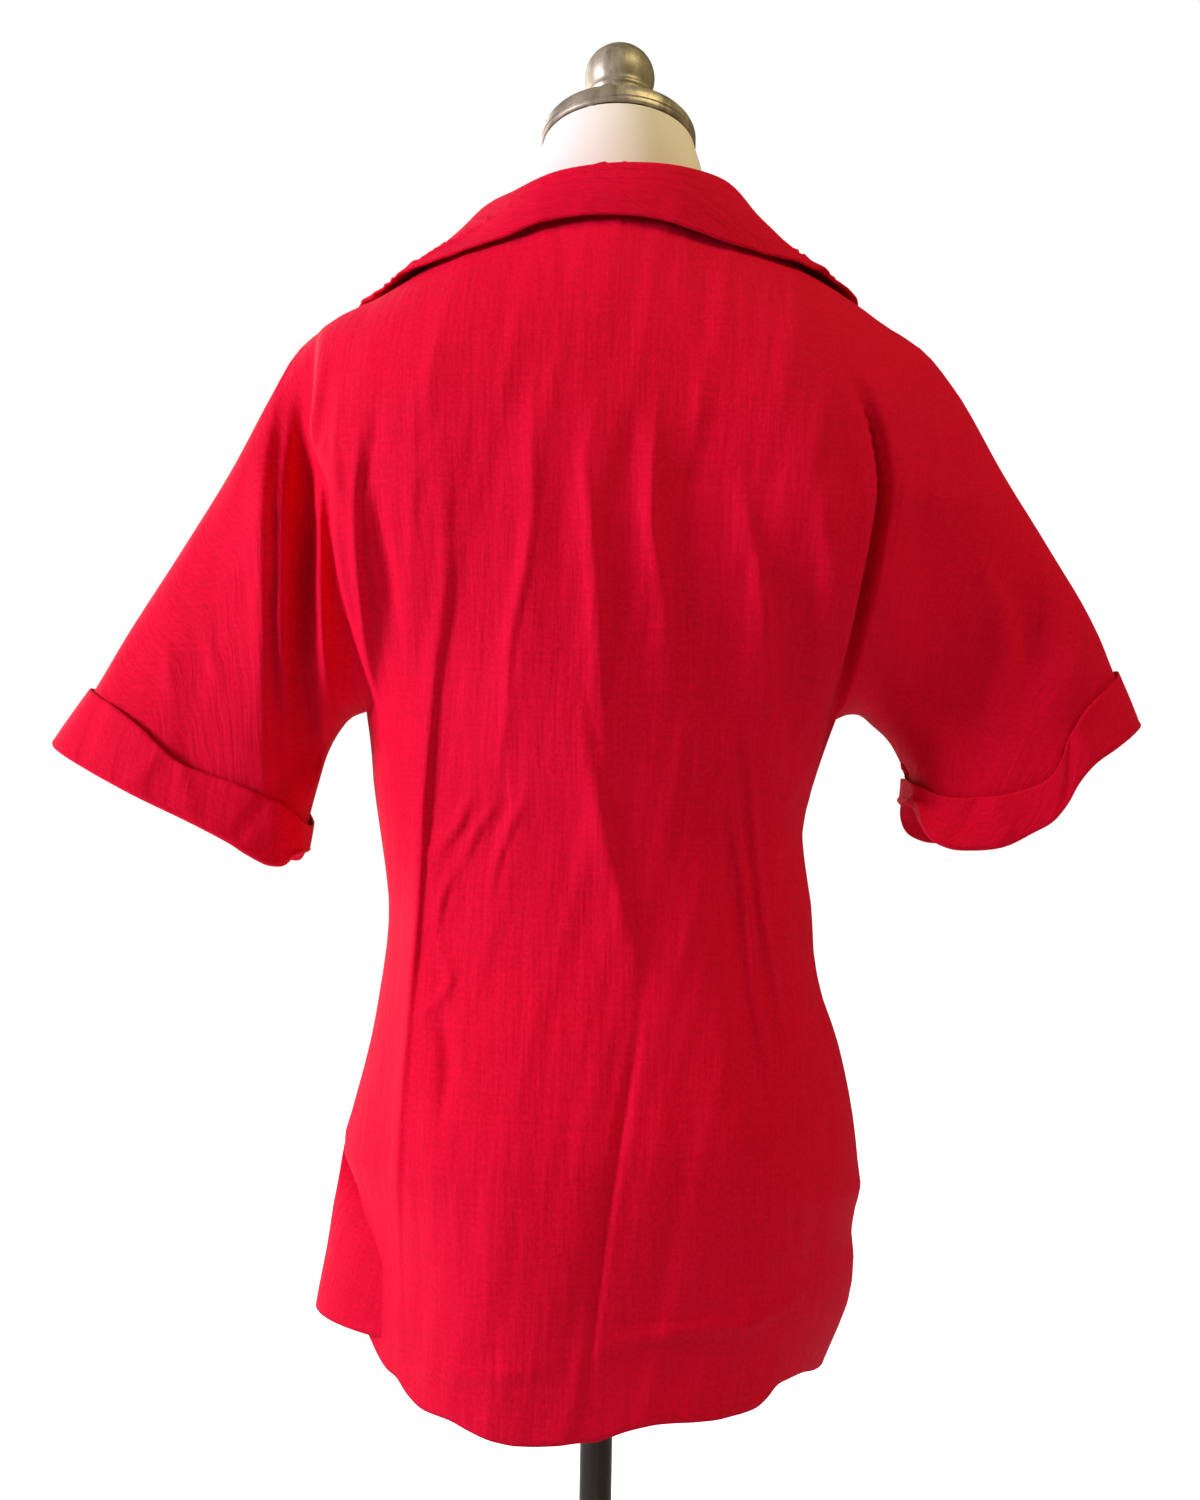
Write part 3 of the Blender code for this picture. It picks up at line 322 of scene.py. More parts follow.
def column(table, which, z):
    # one column of a height table, smooth between its rows
    heights = np.array(sorted(table))
    values = np.array([table[h][which] for h in heights])
    return hermite(heights, values, np.clip(np.asarray(z, float), heights[0], heights[-1]))


def distanceTo(line, x, z):
    # distance to a polyline, how far along it the nearest point is, and the side: +1 is the +X side of a line
    # that runs down
    line = np.asarray(line, float)
    start, along = line[:-1], np.diff(line, axis=0)
    away = np.stack([x, z], -1)[..., None, :] - start
    f = np.clip((away * along).sum(-1) / (along**2).sum(-1), 0, 1)
    gap = np.linalg.norm(away - f[..., None] * along, axis=-1)
    nearest = gap.argmin(-1)[..., None]
    reach = (nearest + np.take_along_axis(f, nearest, -1))[..., 0] / len(start)
    cross = along[:, 0] * away[..., 1] - along[:, 1] * away[..., 0]
    side = np.sign(np.take_along_axis(cross, nearest, -1))[..., 0]
    return gap.min(-1), reach, side


def rounding(share):
    # how far a section has bulged at this share of the way in from its edge: (1 - (1 - s)^n)^(1/n)
    n = shirt["roundness"]
    return (1 - (1 - np.clip(share, 0, 1)) ** n) ** (1 / n)


def topLine(side):
    # from the centre over the neck, then along the shoulder and the top of the sleeve
    overNeck = through(neckPeak[::-1], np.linspace(0, 1, 11))
    return np.vstack([overNeck[:-1], through(sides[side]["top"], np.linspace(0, 1, 41))])


def underLine(side, face):
    # up the body's side to the armpit, then along the underside of the sleeve
    z = np.linspace(shirt["lowestHem"], shirt["armpitZ"], 30)
    body = np.stack([column(bodyOutline, sides[side][face], z), z], -1)
    return np.vstack([body[:-1], through(sides[side]["under"], np.linspace(0, 1, 21))])


def foldRelief(folds, x, z, keep, widths=1.0):
    # sum of hills height * exp(-(gap / halfWidth)^2), each fading at its ends, all fading towards the cuffs
    relief = np.zeros_like(x)
    for wide, narrow, height, *flat in folds:
        wide, narrow = wide * widths, narrow * widths
        points = np.array(flat, float).reshape(-1, 2)
        (lowX, lowZ), (highX, highZ) = points.min(0), points.max(0)
        far = foldShape["farthest"] * max(wide, narrow)
        near = (x > lowX - far) & (x < highX + far) & (z > lowZ - far) & (z < highZ + far)
        line = through(points, np.linspace(0, 1, 4 * len(points) + 1))
        gap, reach, side = distanceTo(line, x[near], z[near])
        fade = np.sin(np.pi * np.clip(reach, 0.02, 0.98)) ** foldShape["endFade"]
        relief[near] += height * fade * np.exp(-((gap / np.where(side > 0, wide, narrow)) ** 2))
    for facts in sides.values():
        relief *= smoothstep(*keep, distanceTo(facts["fold"], x * facts["sign"], z)[0])
    return relief


def rippleAt(x, z):
    # a few slanting sine waves of uneven length, so that no stretch of cloth is quite smooth
    total = np.zeros_like(x)
    for k, (a, b) in enumerate(zip(ripple["across"], ripple["down"])):
        wander = ripple["wander"] * np.sin(0.023 * z + k)
        total += np.sin(2 * np.pi * (a * x + b * z) / 1.9 + 1.7 * k + wander) / (k + 1)
    return ripple["height"] * total


def clothY(face, x, z, fine=True):
    # depth of a panel's outer face: body or sleeve depth, times the rounding to each edge, plus the folds
    x, z = np.asarray(x, float), np.asarray(z, float)
    isBack = face == "back"
    bulge = np.zeros_like(x)
    for side, facts in sides.items():
        here = (x * facts["sign"] > 0) | ((x == 0) & (facts["sign"] > 0))
        if not here.any():
            continue
        ax, az = np.abs(x[here]), z[here]
        toSleeve = smoothstep(*shirt["sleeveBlend"], ax)
        depth = column(bodyDepth, 0 if isBack else 1, az)
        depth = depth + (shirt["sleeveDepth"] - depth) * toSleeve
        half = column(bodyOutline, facts[face], np.minimum(az, shirt["armpitZ"]))
        edgeRoll = half + (shirt["sleeveRoll"] - half) * smoothstep(*shirt["rollBlend"], ax)
        topRoll = shirt["shoulderRoll"] + (shirt["sleeveRoll"] - shirt["shoulderRoll"]) * toSleeve
        bulge[here] = (depth * rounding(distanceTo(topLine(side), ax, az)[0] / topRoll)
                       * rounding(distanceTo(underLine(side, face), ax, az)[0] / edgeRoll))
    relief = foldRelief(backFolds if isBack else frontFolds, x, z, foldShape["cuffKeep"])
    if fine:
        creases = backCreases if isBack else frontCreases
        relief = relief + foldShape["creaseHeight"] * foldRelief(
            creases, x, z, foldShape["creaseKeep"], foldShape["creaseWidth"]) + rippleAt(x, z)
    relief = relief * smoothstep(0, foldShape["edgeFade"], bulge)
    return (1 if isBack else -1) * (bulge + relief)


# meshes from grids


def arcLength(grid, axis):
    # running length of a grid of points along one axis
    steps = np.linalg.norm(np.diff(grid, axis=axis), axis=-1)
    return np.concatenate([np.zeros_like(np.take(steps, [0], axis)), np.cumsum(steps, axis)], axis)


def unit(vectors):
    # vectors divided by their own length
    return vectors / np.linalg.norm(vectors, axis=-1, keepdims=True)


def gridNormals(grid):
    # the cross product of the steps across and down a grid
    return unit(np.cross(np.gradient(grid, axis=1), np.gradient(grid, axis=0)))


def finishPiece(piece, material, replaced=()):
    # every piece looks smooth, rides on the one body, and stands in for the solids it names
    piece.data.shade_smooth()
    piece.data.materials.append(material)
    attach(piece, "root")
    if replaced:
        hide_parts(*replaced)
    return piece


def meshOf(name, blocks, wall=0.0):
    # blocks are (points in mm, uv in m, flip): quads of neighbouring points, joined where blocks share points
    points, uvs, quads, count = [], [], [], 0
    for grid, uv, flip in blocks:
        rows, columns = grid.shape[:2]
        index = np.arange(rows * columns).reshape(rows, columns) + count
        quad = np.stack([index[:-1, :-1], index[:-1, 1:], index[1:, 1:], index[1:, :-1]], -1).reshape(-1, 4)
        quads.append(quad[:, ::-1] if flip else quad)
        points.append(grid.reshape(-1, 3))
        uvs.append(np.broadcast_to(uv, grid.shape[:2] + (2,)).reshape(-1, 2))
        count += rows * columns
    points, uvs, quads = np.concatenate(points) * mm, np.concatenate(uvs), np.concatenate(quads)
    _, first, index = np.unique(np.round(points, 6), axis=0, return_index=True, return_inverse=True)
    mesh = bpy.data.meshes.new(name)
    mesh.from_pydata(points[first].tolist(), [], index.reshape(-1)[quads].tolist())
    layer = mesh.uv_layers.new(name="cloth")
    layer.data.foreach_set("uv", uvs[quads.reshape(-1)].astype(np.float32).reshape(-1))
    mesh.validate()
    piece = newObject(name, mesh)
    if wall:
        thicken = piece.modifiers.new("wall", "SOLIDIFY")
        thicken.thickness = wall * mm
        thicken.offset = -1
        thicken.use_even_offset = False
    return piece


def lengthsOver(grid):
    # a UV map in metres: the running length across the grid and down it
    return np.stack([arcLength(grid, 1), arcLength(grid, 0)], -1) * mm


def makeCloth(name, grid, flip, replaced, wall):
    return finishPiece(meshOf(name, [(grid, lengthsOver(grid), flip)], wall), linen, [replaced])


# shader helpers


class Wire:
    # a shader socket that takes part in sums, so that a mask reads as arithmetic
    def __init__(self, finish, socket):
        self.finish, self.socket = finish, socket

    def maths(self, operation, *others):
        values = [self, *others]
        return self.finish.node("ShaderNodeMath", {"operation": operation}, dict(enumerate(values)))

    def __add__(self, other):
        return self.maths("ADD", other)

    def __mul__(self, other):
        return self.maths("MULTIPLY", other)

    __radd__ = __add__
    __rmul__ = __mul__

    def sine(self):
        return self.maths("SINE")

    def output(self, number):
        # another output of the same node
        return Wire(self.finish, self.socket.node.outputs[number])

    def clamped(self, low, high):
        # 0 at low, 1 at high, straight between
        return self.finish.node("ShaderNodeMapRange", {"clamp": True}, {0: self, 1: low, 2: high, 3: 0.0, 4: 1.0})


class Finish:
    # a material, with one way to add any node to it
    def __init__(self, name):
        self.material = bpy.data.materials.new(name)
        self.material.use_nodes = True
        self.tree = self.material.node_tree
        self.shader = self.tree.nodes["Principled BSDF"]

    def node(self, kind, settings=None, inputs=None, output=0):
        made = self.tree.nodes.new(kind)
        for key, value in (settings or {}).items():
            setattr(made, key, value)
        for key, value in (inputs or {}).items():
            self.feed(made.inputs[key], value)
        return Wire(self, made.outputs[output])

    def feed(self, socket, value):
        if isinstance(value, Wire):
            self.tree.links.new(value.socket, socket)
        else:
            socket.default_value = value

    def fixed(self, **values):
        for key, value in values.items():
            self.shader.inputs[key.replace("_", " ")].default_value = value

    def coordinates(self, kind, scale=(1, 1, 1)):
        found = self.node("ShaderNodeTexCoord", output=kind)
        return self.node("ShaderNodeMapping", None, {"Vector": found, "Scale": scale})

    def noise(self, where, scale, detail=2.0, roughness=0.5, distortion=0.0):
        return self.node("ShaderNodeTexNoise", {"noise_dimensions": "3D"},
                         {"Vector": where, "Scale": scale, "Detail": detail, "Roughness": roughness,
                          "Distortion": distortion})

    def mixed(self, factor, first, second):
        return self.node("ShaderNodeMix", {"data_type": "RGBA"}, {0: factor, 6: first, 7: second}, 2)

    def bumped(self, height, distance, strength, under=None):
        inputs = {"Height": height, "Distance": distance, "Strength": strength}
        if under is not None:
            inputs["Normal"] = under
        return self.node("ShaderNodeBump", None, inputs)

    def finished(self, **links):
        for key, value in links.items():
            self.feed(self.shader.inputs[key.replace("_", " ")], value)
        return self.material


# finishes
redLinen = {
    "bright": (0.78, 0.0030, 0.026, 1), "deep": (0.64, 0.0020, 0.018, 1), "faded": (0.82, 0.0048, 0.036, 1),
    "threadsPerMetre": 1150.0,
    # noise scales across and along: slubs of a thread, bands of threads, crumpling and pressed streaks
    "slub": (640.0, 26.0), "bands": (150, 6), "rows": (7, 120), "crumple": (60, 42), "pressed": (85, 11),
    "clouds": 9.0, "mottle": 420.0,
    "toneRange": (0.41, 0.59), "fadedShare": 0.35,
    "crumpleBump": (0.0014, 0.4), "pressedBump": (0.0022, 0.75), "weaveBump": (0.00045, 0.6),   # depth, strength
}
stitchThread = {"dark": (0.42, 0.002, 0.012, 1), "light": (0.68, 0.006, 0.03, 1), "twist": 900.0}
formJersey = {
    "cream": (0.93, 0.87, 0.68, 1), "yellowed": (0.88, 0.80, 0.60, 1), "speck": (0.94, 0.88, 0.76, 1),
    "ribs": 420.0,
}
antiqueBronze = {
    "dark": (0.24, 0.205, 0.125, 1), "rubbed": (0.52, 0.46, 0.30, 1), "speck": (0.17, 0.145, 0.09, 1),
    "tarnish": 55.0,
}
darkSteel = {"lacquer": (0.030, 0.024, 0.017, 1), "scuff": (0.085, 0.068, 0.048, 1), "peel": 260.0}


def makeRedLinen():
    # plain weave with uneven, slubby threads both ways: thin streaks along each thread, lighter and darker
    look = redLinen
    finish = Finish("redLinen")

    def streaked(scale, detail, roughness=0.5):
        return finish.noise(finish.coordinates("UV", (*scale, 1)), 1.0, detail, roughness)

    where = finish.coordinates("UV")
    turns = 2 * math.pi * look["threadsPerMetre"]
    u = finish.node("ShaderNodeSeparateXYZ", None, {0: where})
    weave = (u * turns).sine() * (u.output(1) * turns).sine()
    warp, weft = streaked(look["slub"], 1.5), streaked(look["slub"][::-1], 1.5)
    bands, rows = streaked(look["bands"], 2.0), streaked(look["rows"], 2.0)
    clouds = finish.noise(where, look["clouds"], 3.0)
    crumple = streaked(look["crumple"], 3.0)
    mottle = finish.noise(where, look["mottle"], 2.0)
    pressed = streaked(look["pressed"], 2.5, 0.6)
    threads = warp * 0.5 + weft * 0.5
    streaks = bands * 0.5 + rows * 0.5
    tone = (threads * 0.42 + streaks * 0.12 + mottle * 0.46).clamped(*look["toneRange"])
    colour = finish.mixed(tone, look["deep"], look["bright"])
    colour = finish.mixed(clouds.clamped(0.35, 0.75) * look["fadedShare"], colour, look["faded"])
    height = weave * 0.22 + threads * 1.1 + streaks * 0.5
    normal = finish.bumped(crumple, *look["crumpleBump"])
    normal = finish.bumped(pressed, *look["pressedBump"], normal)
    normal = finish.bumped(height + mottle * 0.9, *look["weaveBump"], normal)
    finish.fixed(Specular_IOR_Level=0.18, Specular_Tint=(1.0, 0.12, 0.35, 1), Sheen_Weight=0.10,
                 Sheen_Roughness=0.45, Sheen_Tint=(1.0, 0.04, 0.30, 1))
    return finish.finished(Base_Color=colour, Roughness=0.62 + threads * 0.22, Normal=normal)


def makeStitchThread():
    # twisted sewing thread: fine slanting ribs
    finish = Finish("stitchThread")
    twist = finish.node("ShaderNodeTexWave", {"bands_direction": "DIAGONAL"},
                        {"Vector": finish.coordinates("Object"), "Scale": stitchThread["twist"], "Distortion": 0.4},
                        "Fac")
    finish.fixed(Specular_IOR_Level=0.4)
    return finish.finished(Base_Color=finish.mixed(twist, stitchThread["dark"], stitchThread["light"]),
                           Roughness=0.5 + twist * 0.2, Normal=finish.bumped(twist, 0.0002, 0.6))


def makeFormJersey():
    # cream jersey pulled tight over foam: fine knit ribs, and a slight yellowing in clouds
    look = formJersey
    finish = Finish("formJersey")
    where = finish.coordinates("Object")
    ribs = finish.node("ShaderNodeTexWave", {"bands_direction": "Z"},
                       {"Vector": where, "Scale": look["ribs"], "Distortion": 1.2, "Detail": 1.0}, "Fac")
    clouds, specks = finish.noise(where, 14.0, 3.0), finish.noise(where, 900.0, 1.0)
    colour = finish.mixed(clouds.clamped(0.3, 0.75), look["cream"], look["yellowed"])
    colour = finish.mixed(specks.clamped(0.45, 0.8) * 0.25, colour, look["speck"])
    finish.fixed(Specular_IOR_Level=0.25, Sheen_Weight=0.08)
    return finish.finished(Base_Color=colour, Roughness=0.72 + specks * 0.15,
                           Normal=finish.bumped(ribs * 0.5 + specks * 0.5, 0.0003, 0.5))


def makeBronze():
    # antiqued brass: olive brown metal with darker tarnish in streaks and rubbed bright spots
    look = antiqueBronze
    finish = Finish("antiqueBronze")
    tarnish = finish.noise(finish.coordinates("Object", (1, 1, 0.35)), look["tarnish"], 5.0, 0.65, 0.6)
    specks = finish.noise(finish.coordinates("Object"), 420.0, 3.0, 0.6)
    colour = finish.mixed(tarnish.clamped(0.40, 0.62), look["dark"], look["rubbed"])
    colour = finish.mixed(specks.clamped(0.55, 0.75) * 0.5, colour, look["speck"])
    return finish.finished(Base_Color=colour, Roughness=0.26 + tarnish * 0.18 + specks * 0.14,
                           Metallic=0.25 + tarnish * 0.3, Normal=finish.bumped(specks * 0.6 + tarnish, 0.0003, 0.5))


def makeDarkSteel():
    # dark bronze lacquer on the pole and foot: faint orange peel, thin scuffs down the pole
    finish = Finish("darkSteel")
    peel = finish.noise(finish.coordinates("Object"), darkSteel["peel"], 2.0)
    scuffs = finish.noise(finish.coordinates("Object", (180, 180, 7)), 1.0, 3.0, 0.6)
    colour = finish.mixed(scuffs.clamped(0.52, 0.72) * 0.6, darkSteel["lacquer"], darkSteel["scuff"])
    finish.fixed(Specular_IOR_Level=0.6)
    return finish.finished(Base_Color=colour, Roughness=0.28 + scuffs * 0.16, Metallic=0.75 + peel * 0.1,
                           Normal=finish.bumped(peel, 0.00015, 0.4))


linen, thread = makeRedLinen(), makeStitchThread()
jersey, bronze, steel = makeFormJersey(), makeBronze(), makeDarkSteel()
print("finishes made")

# panels of the shirt
panelGrid = {"rowsBelowArm": 112, "rowsAboveArm": 56, "back": 92, "front": 66, "sleeve": 76}


def armholeLine(side):
    # straight from the armpit to the shoulder's tip, with rows closer together at both ends
    tip = sides[side]["top"][shoulderTip]
    q = (1 - np.cos(np.linspace(0, math.pi, panelGrid["rowsAboveArm"] + 1))) / 2
    return through([sides[side]["under"][0], tip], q), q


def sideColumn(side, face):
    # the outer edge of a body block: the side seam from the hem to the armpit, then the armhole line
    z = np.linspace(hems[side, face][-1][1], shirt["armpitZ"], panelGrid["rowsBelowArm"] + 1)[:-1]
    seam = np.stack([column(bodyOutline, sides[side][face], z), z], -1)
    return np.vstack([seam, armholeLine(side)[0]])


def shoulderZ(side, x):
    # height of the shoulder seam at x
    line = through(sides[side]["top"], np.linspace(0, 1, 41))
    upto = np.argmax(line[:, 1] < sides[side]["top"][shoulderTip][1] - 12)   # a little past the shoulder's tip
    return np.interp(x, line[:upto, 0], line[:upto, 1])


def riseOf(edge):
    # the rows of an edge as shares of its height
    return (edge[:, 1] - edge[0, 1]) / (edge[-1, 1] - edge[0, 1])


def frontEdgeX(z):
    # the front edges part above the knot in a V up to the neck, and a little below it
    neckX, neckZ = shirt["neckSide"]
    atKnot, atHem = shirt["frontEdge"]
    above = np.clip((z - shirt["knotZ"]) / (neckZ - shirt["knotZ"]), 0, 1)
    below = np.clip((shirt["knotZ"] - z) / (shirt["knotZ"] - shirt["lowestHem"]), 0, 1)
    return atKnot + (neckX - atKnot) * above**1.5 + (atHem - atKnot) * below**1.2


def bodyBlock(side, face):
    # (x, z) grid: rows from the hem up to the shoulder, columns from the centre or front edge out to the side
    edge = sideColumn(side, face)
    u = np.linspace(0, 1, panelGrid[face] + 1)
    share = 0.45 * u + 0.55 * np.sin(u * math.pi / 2)
    rises = [riseOf(sideColumn(each, face)) for each in sides]
    rise = (1 - share) * np.mean(rises, 0)[:, None] + share * riseOf(edge)[:, None]
    tipX = edge[-1, 0]
    neckX, neckZ = shirt["neckSide"]
    if face == "back":
        topX = share * tipX
        neck = shirt["napeZ"] + (neckZ - shirt["napeZ"]) * (topX / neckX) ** 2
        topZ = np.where(topX < neckX, neck, shoulderZ(side, topX))
        inner = np.zeros(len(edge))
    else:
        topX = neckX + share * (tipX - neckX)
        topZ = shoulderZ(side, topX)
        inner = frontEdgeX(shirt["frontHem"] + rise[:, 0] * (topZ[0] - shirt["frontHem"]))
    topZ[-1] = edge[-1, 1]
    x = inner[:, None] + share[None, :] * (edge[:, :1] - inner[:, None])
    line = np.array(hems[side, face], float)
    bottom = hermite(line[:, 0], line[:, 1:], np.clip(x[0], line[0, 0], line[-1, 0]))[:, 0]
    bottom[-1] = edge[0, 1]
    return x, bottom + rise * (topZ - bottom)


def sleeveBlock(side):
    # (x, z) grid from the armhole line out to the sleeve's end, blended from its four edges
    facts = sides[side]
    start, q = armholeLine(side)
    p = np.linspace(0, 1, panelGrid["sleeve"] + 1) ** 1.2
    under = through(facts["under"], p)
    top = through(facts["top"][shoulderTip:], p)
    fold = through(facts["fold"], q)
    end = fold + (1 - q)[:, None] * (under[-1] - fold[0]) + q[:, None] * (top[-1] - fold[-1])
    a, b = q[:, None, None], p[None, :, None]
    grid = (1 - a) * under + a * top + (1 - b) * start[:, None] + b * end[:, None]
    corners = (1 - a) * ((1 - b) * start[0] + b * under[-1]) + a * ((1 - b) * start[-1] + b * end[-1])
    grid = grid - corners
    return grid[..., 0], grid[..., 1]


def ventOpen(z):
    # 0 at the vent's top, 1 from a little way below it
    return smoothstep(shirt["ventTop"], shirt["ventTop"] - shirt["ventEase"], z)


def ventLap(x, z, y):
    # below the vent's top the back's edge stays out: (y^4 + lift^4)^(1/4)
    lift = shirt["ventLift"] * ventOpen(z) * smoothstep(*shirt["ventFrom"], x)
    return (y**4 + lift**4) ** 0.25


def ventWrap(x, z):
    # the front's edge goes on round the hip and under the back's edge, on an oval of its own, and sinks a little
    top, full = shirt["ventTop"] - 1, shirt["ventTop"] - 12
    t = np.linspace(0, 1, 16)
    lap = x - column(bodyOutline, sides["left"]["back"], z) + shirt["wrapUnder"]
    wrapX = x[:, None] - (lap * smoothstep(top, full, z))[:, None] * t**1.4
    wrapY = shirt["wrapDepth"] * ventOpen(z)[:, None] * rounding((x[:, None] - wrapX) / x[:, None])
    drop = shirt["wrapDrop"] * t * smoothstep(600, 545, z)[:, None]
    return np.stack([wrapX, wrapY, z[:, None] - drop], -1)


def makePanel(name, face, panelSides, replaced):
    # body and sleeve in one piece; at its seams it comes to the plane between front and back
    blocks = []
    isBack = face == "back"
    seamY = shirt["seamY"] * (1 if isBack else -1)
    armRow = panelGrid["rowsBelowArm"]
    for side in panelSides:
        sign = sides[side]["sign"]
        flip = (sign > 0) == isBack
        x, z = bodyBlock(side, face)
        y = clothY(face, sign * x, z)
        y[:armRow + 1, -1] = seamY
        y[-1, x[-1] >= shirt["neckSide"][0] - 0.01] = seamY
        if side == "left" and isBack:
            y = np.where(z < shirt["ventTop"], ventLap(x, z, y), y)
        grid = np.stack([sign * x, y, z], -1)
        width = arcLength(grid, 1) + (0 if isBack else shirt["frontShift"])
        blocks.append((grid, np.stack([sign * width, z], -1) * mm, flip))
        if side == "left" and not isBack:
            below = z[:, -1] < shirt["ventTop"]
            wrap = ventWrap(x[below, -1], z[below, -1])
            wrap[:, 0, 1] = seamY
            uv = np.stack([width[below, -1:] + arcLength(wrap, 1), wrap[..., 2]], -1) * mm
            blocks.append((wrap, uv, flip))
        edgeWidth = width[armRow:, -1:]
        x, z = sleeveBlock(side)
        y = clothY(face, sign * x, z)
        y[0] = y[-1] = seamY
        grid = np.stack([sign * x, y, z], -1)
        blocks.append((grid, np.stack([sign * (edgeWidth + arcLength(grid, 1)), z], -1) * mm, flip))
    finishPiece(meshOf(name, blocks, shirt["wall"]), linen, [replaced])


makePanel("backPanel", "back", ["left", "right"], "back")
makePanel("frontPanelLeft", "front", ["left"], "front_left")
makePanel("frontPanelRight", "front", ["right"], "front_right")
print("panels made")

# collar
collar = {
    # from its right front point round the back to its left front point: seam, fold at its top, outer edge
    "stations": [
        ((-51, -90, 1156), (-54, -93, 1163), (-126, -108, 1106)),
        ((-58, -70, 1188), (-62, -73, 1197), (-147, -88, 1134)),
        ((-63, -48, 1212), (-70, -50, 1224), (-157, -52, 1165)),
        ((-67, -24, 1230), (-74, -24, 1237), (-157, -18, 1184)),
        ((-69, 2, 1236), (-76, 2, 1243), (-147, 12, 1193)),
        ((-57, 31, 1234), (-68, 36, 1251), (-116, 40, 1198)),
        ((-33, 54, 1229), (-39, 59, 1254), (-72, 63, 1207)),
        ((0, 60, 1227), (-2, 65, 1254), (-14, 73, 1221)),
        ((33, 54, 1229), (36, 59, 1250), (49, 67, 1217)),
        ((57, 31, 1234), (63, 35, 1245), (92, 52, 1199)),
        ((69, 2, 1237), (82, 2, 1243), (131, 30, 1186)),
        ((67, -24, 1230), (80, -24, 1236), (160, 2, 1179)),
        ((63, -48, 1212), (73, -50, 1220), (165, -42, 1160)),
        ((58, -70, 1188), (63, -73, 1196), (150, -84, 1130)),
        ((51, -90, 1156), (54, -93, 1163), (126, -108, 1104)),
    ],
    "clear": 3.4,        # from the shirt's outside to the collar's
    "roll": (1.9, 0.10, 0.12),   # height of the rolled fold, and its place and half-width down the fall
    "belly": 3.0,        # how far the fall swells outwards between the fold and its edge
    "spacing": 1.15,     # above 1, the rows of the fall are closer near the fold
    "frontLift": (2.6, 2.8),     # in front, how far the fall and the stand are kept clear as well
    "columns": 250, "standRows": 7, "fallRows": 22,
    "creases": [         # place along the collar, lean of the crease, half-width, height
        (0.30, 0.02, 0.010, 1.1), (0.375, -0.02, 0.008, -1.0), (0.43, 0.015, 0.007, 0.9),
        (0.52, 0.01, 0.006, 0.7), (0.585, -0.015, 0.008, 1.0), (0.64, 0.02, 0.009, -0.9), (0.70, 0.0, 0.010, 1.0),
        (0.20, 0.02, 0.012, 1.2), (0.80, -0.02, 0.012, 1.2), (0.10, 0.0, 0.02, 1.0), (0.91, 0.0, 0.02, -1.0),
    ],
}


def overShirt(points):
    # how far points lie outside the shirt's shoulders, in mm
    x, y, z = np.moveaxis(points, -1, 0)
    bulge, above = np.zeros_like(x), np.zeros_like(x)
    for side, facts in sides.items():
        here = x * facts["sign"] >= 0
        crest = topLine(side)
        above[here] = z[here] - np.interp(np.abs(x[here]), crest[:, 0], crest[:, 1])
        bulge[here] = np.where(y[here] > 0, clothY("back", x[here], z[here], False),
                               -clothY("front", x[here], z[here], False))
    return np.where(above > 0, np.hypot(above, y), np.abs(y) - bulge)


def slopeOf(field, points, step=0.2):
    # the field's differences over a short step each way along x, y and z
    return np.stack([(field(points + d) - field(points - d)) / (2 * step) for d in np.eye(3) * step], -1)


def cleared(points, distance):
    # points too close to the shirt move out along its normal
    points = points.copy()
    for _ in range(5):
        slope = slopeOf(overShirt, points)
        size = np.linalg.norm(slope, axis=-1, keepdims=True).clip(1)
        short = np.clip(distance - overShirt(points)[..., None] / size, 0, 4)
        points += short * slope / size
    return points


def collarGrid():
    # the stand rises from the seam to the fold; the fall rolls over it and drops to the outer edge
    stations = np.array(collar["stations"], float)
    along = np.linspace(0, 1, collar["columns"])
    seam, fold, edge = (through(stations[:, k], along) for k in range(3))
    up = np.linspace(0, 1, collar["standRows"])[:, None, None]
    down = (np.linspace(0, 1, collar["fallRows"]) ** collar["spacing"])[1:, None, None]
    outward = unit((edge - fold) * (1, 1, 0))
    height, place, width = collar["roll"]
    roll = height * np.exp(-((down - place) / width) ** 2) * np.array([0, 0, 1.0])
    fall = fold + down * (edge - fold) + np.sin(math.pi * down) * collar["belly"] * outward + roll
    inFront = smoothstep(0, 30, -fold[:, 1])[:, None]
    fallLift, standLift = collar["frontLift"]
    fall = cleared(fall, collar["clear"] + fallLift * inFront * (1 - down))
    stand = cleared(seam + up * (fold - seam), inFront * (standLift + standLift * up))
    grid = np.concatenate([stand, fall])
    share = np.concatenate([up[:, 0, 0] * 0, down[:, 0, 0]])[:, None]
    relief = np.zeros(grid.shape[:2])
    for place, lean, width, height in collar["creases"]:
        relief += height * np.exp(-(((along[None] - place - lean * share) / width) ** 2)) * share**0.5
    normal = gridNormals(grid)
    outside = np.sign((normal * outward[None]).sum(-1).mean())
    return grid + outside * normal * np.maximum(relief, -0.6)[..., None] * share[..., None]


collarShape = collarGrid()
makeCloth("collarFold", collarShape, True, "collar", shirt["doubleWall"])
print("collar made")

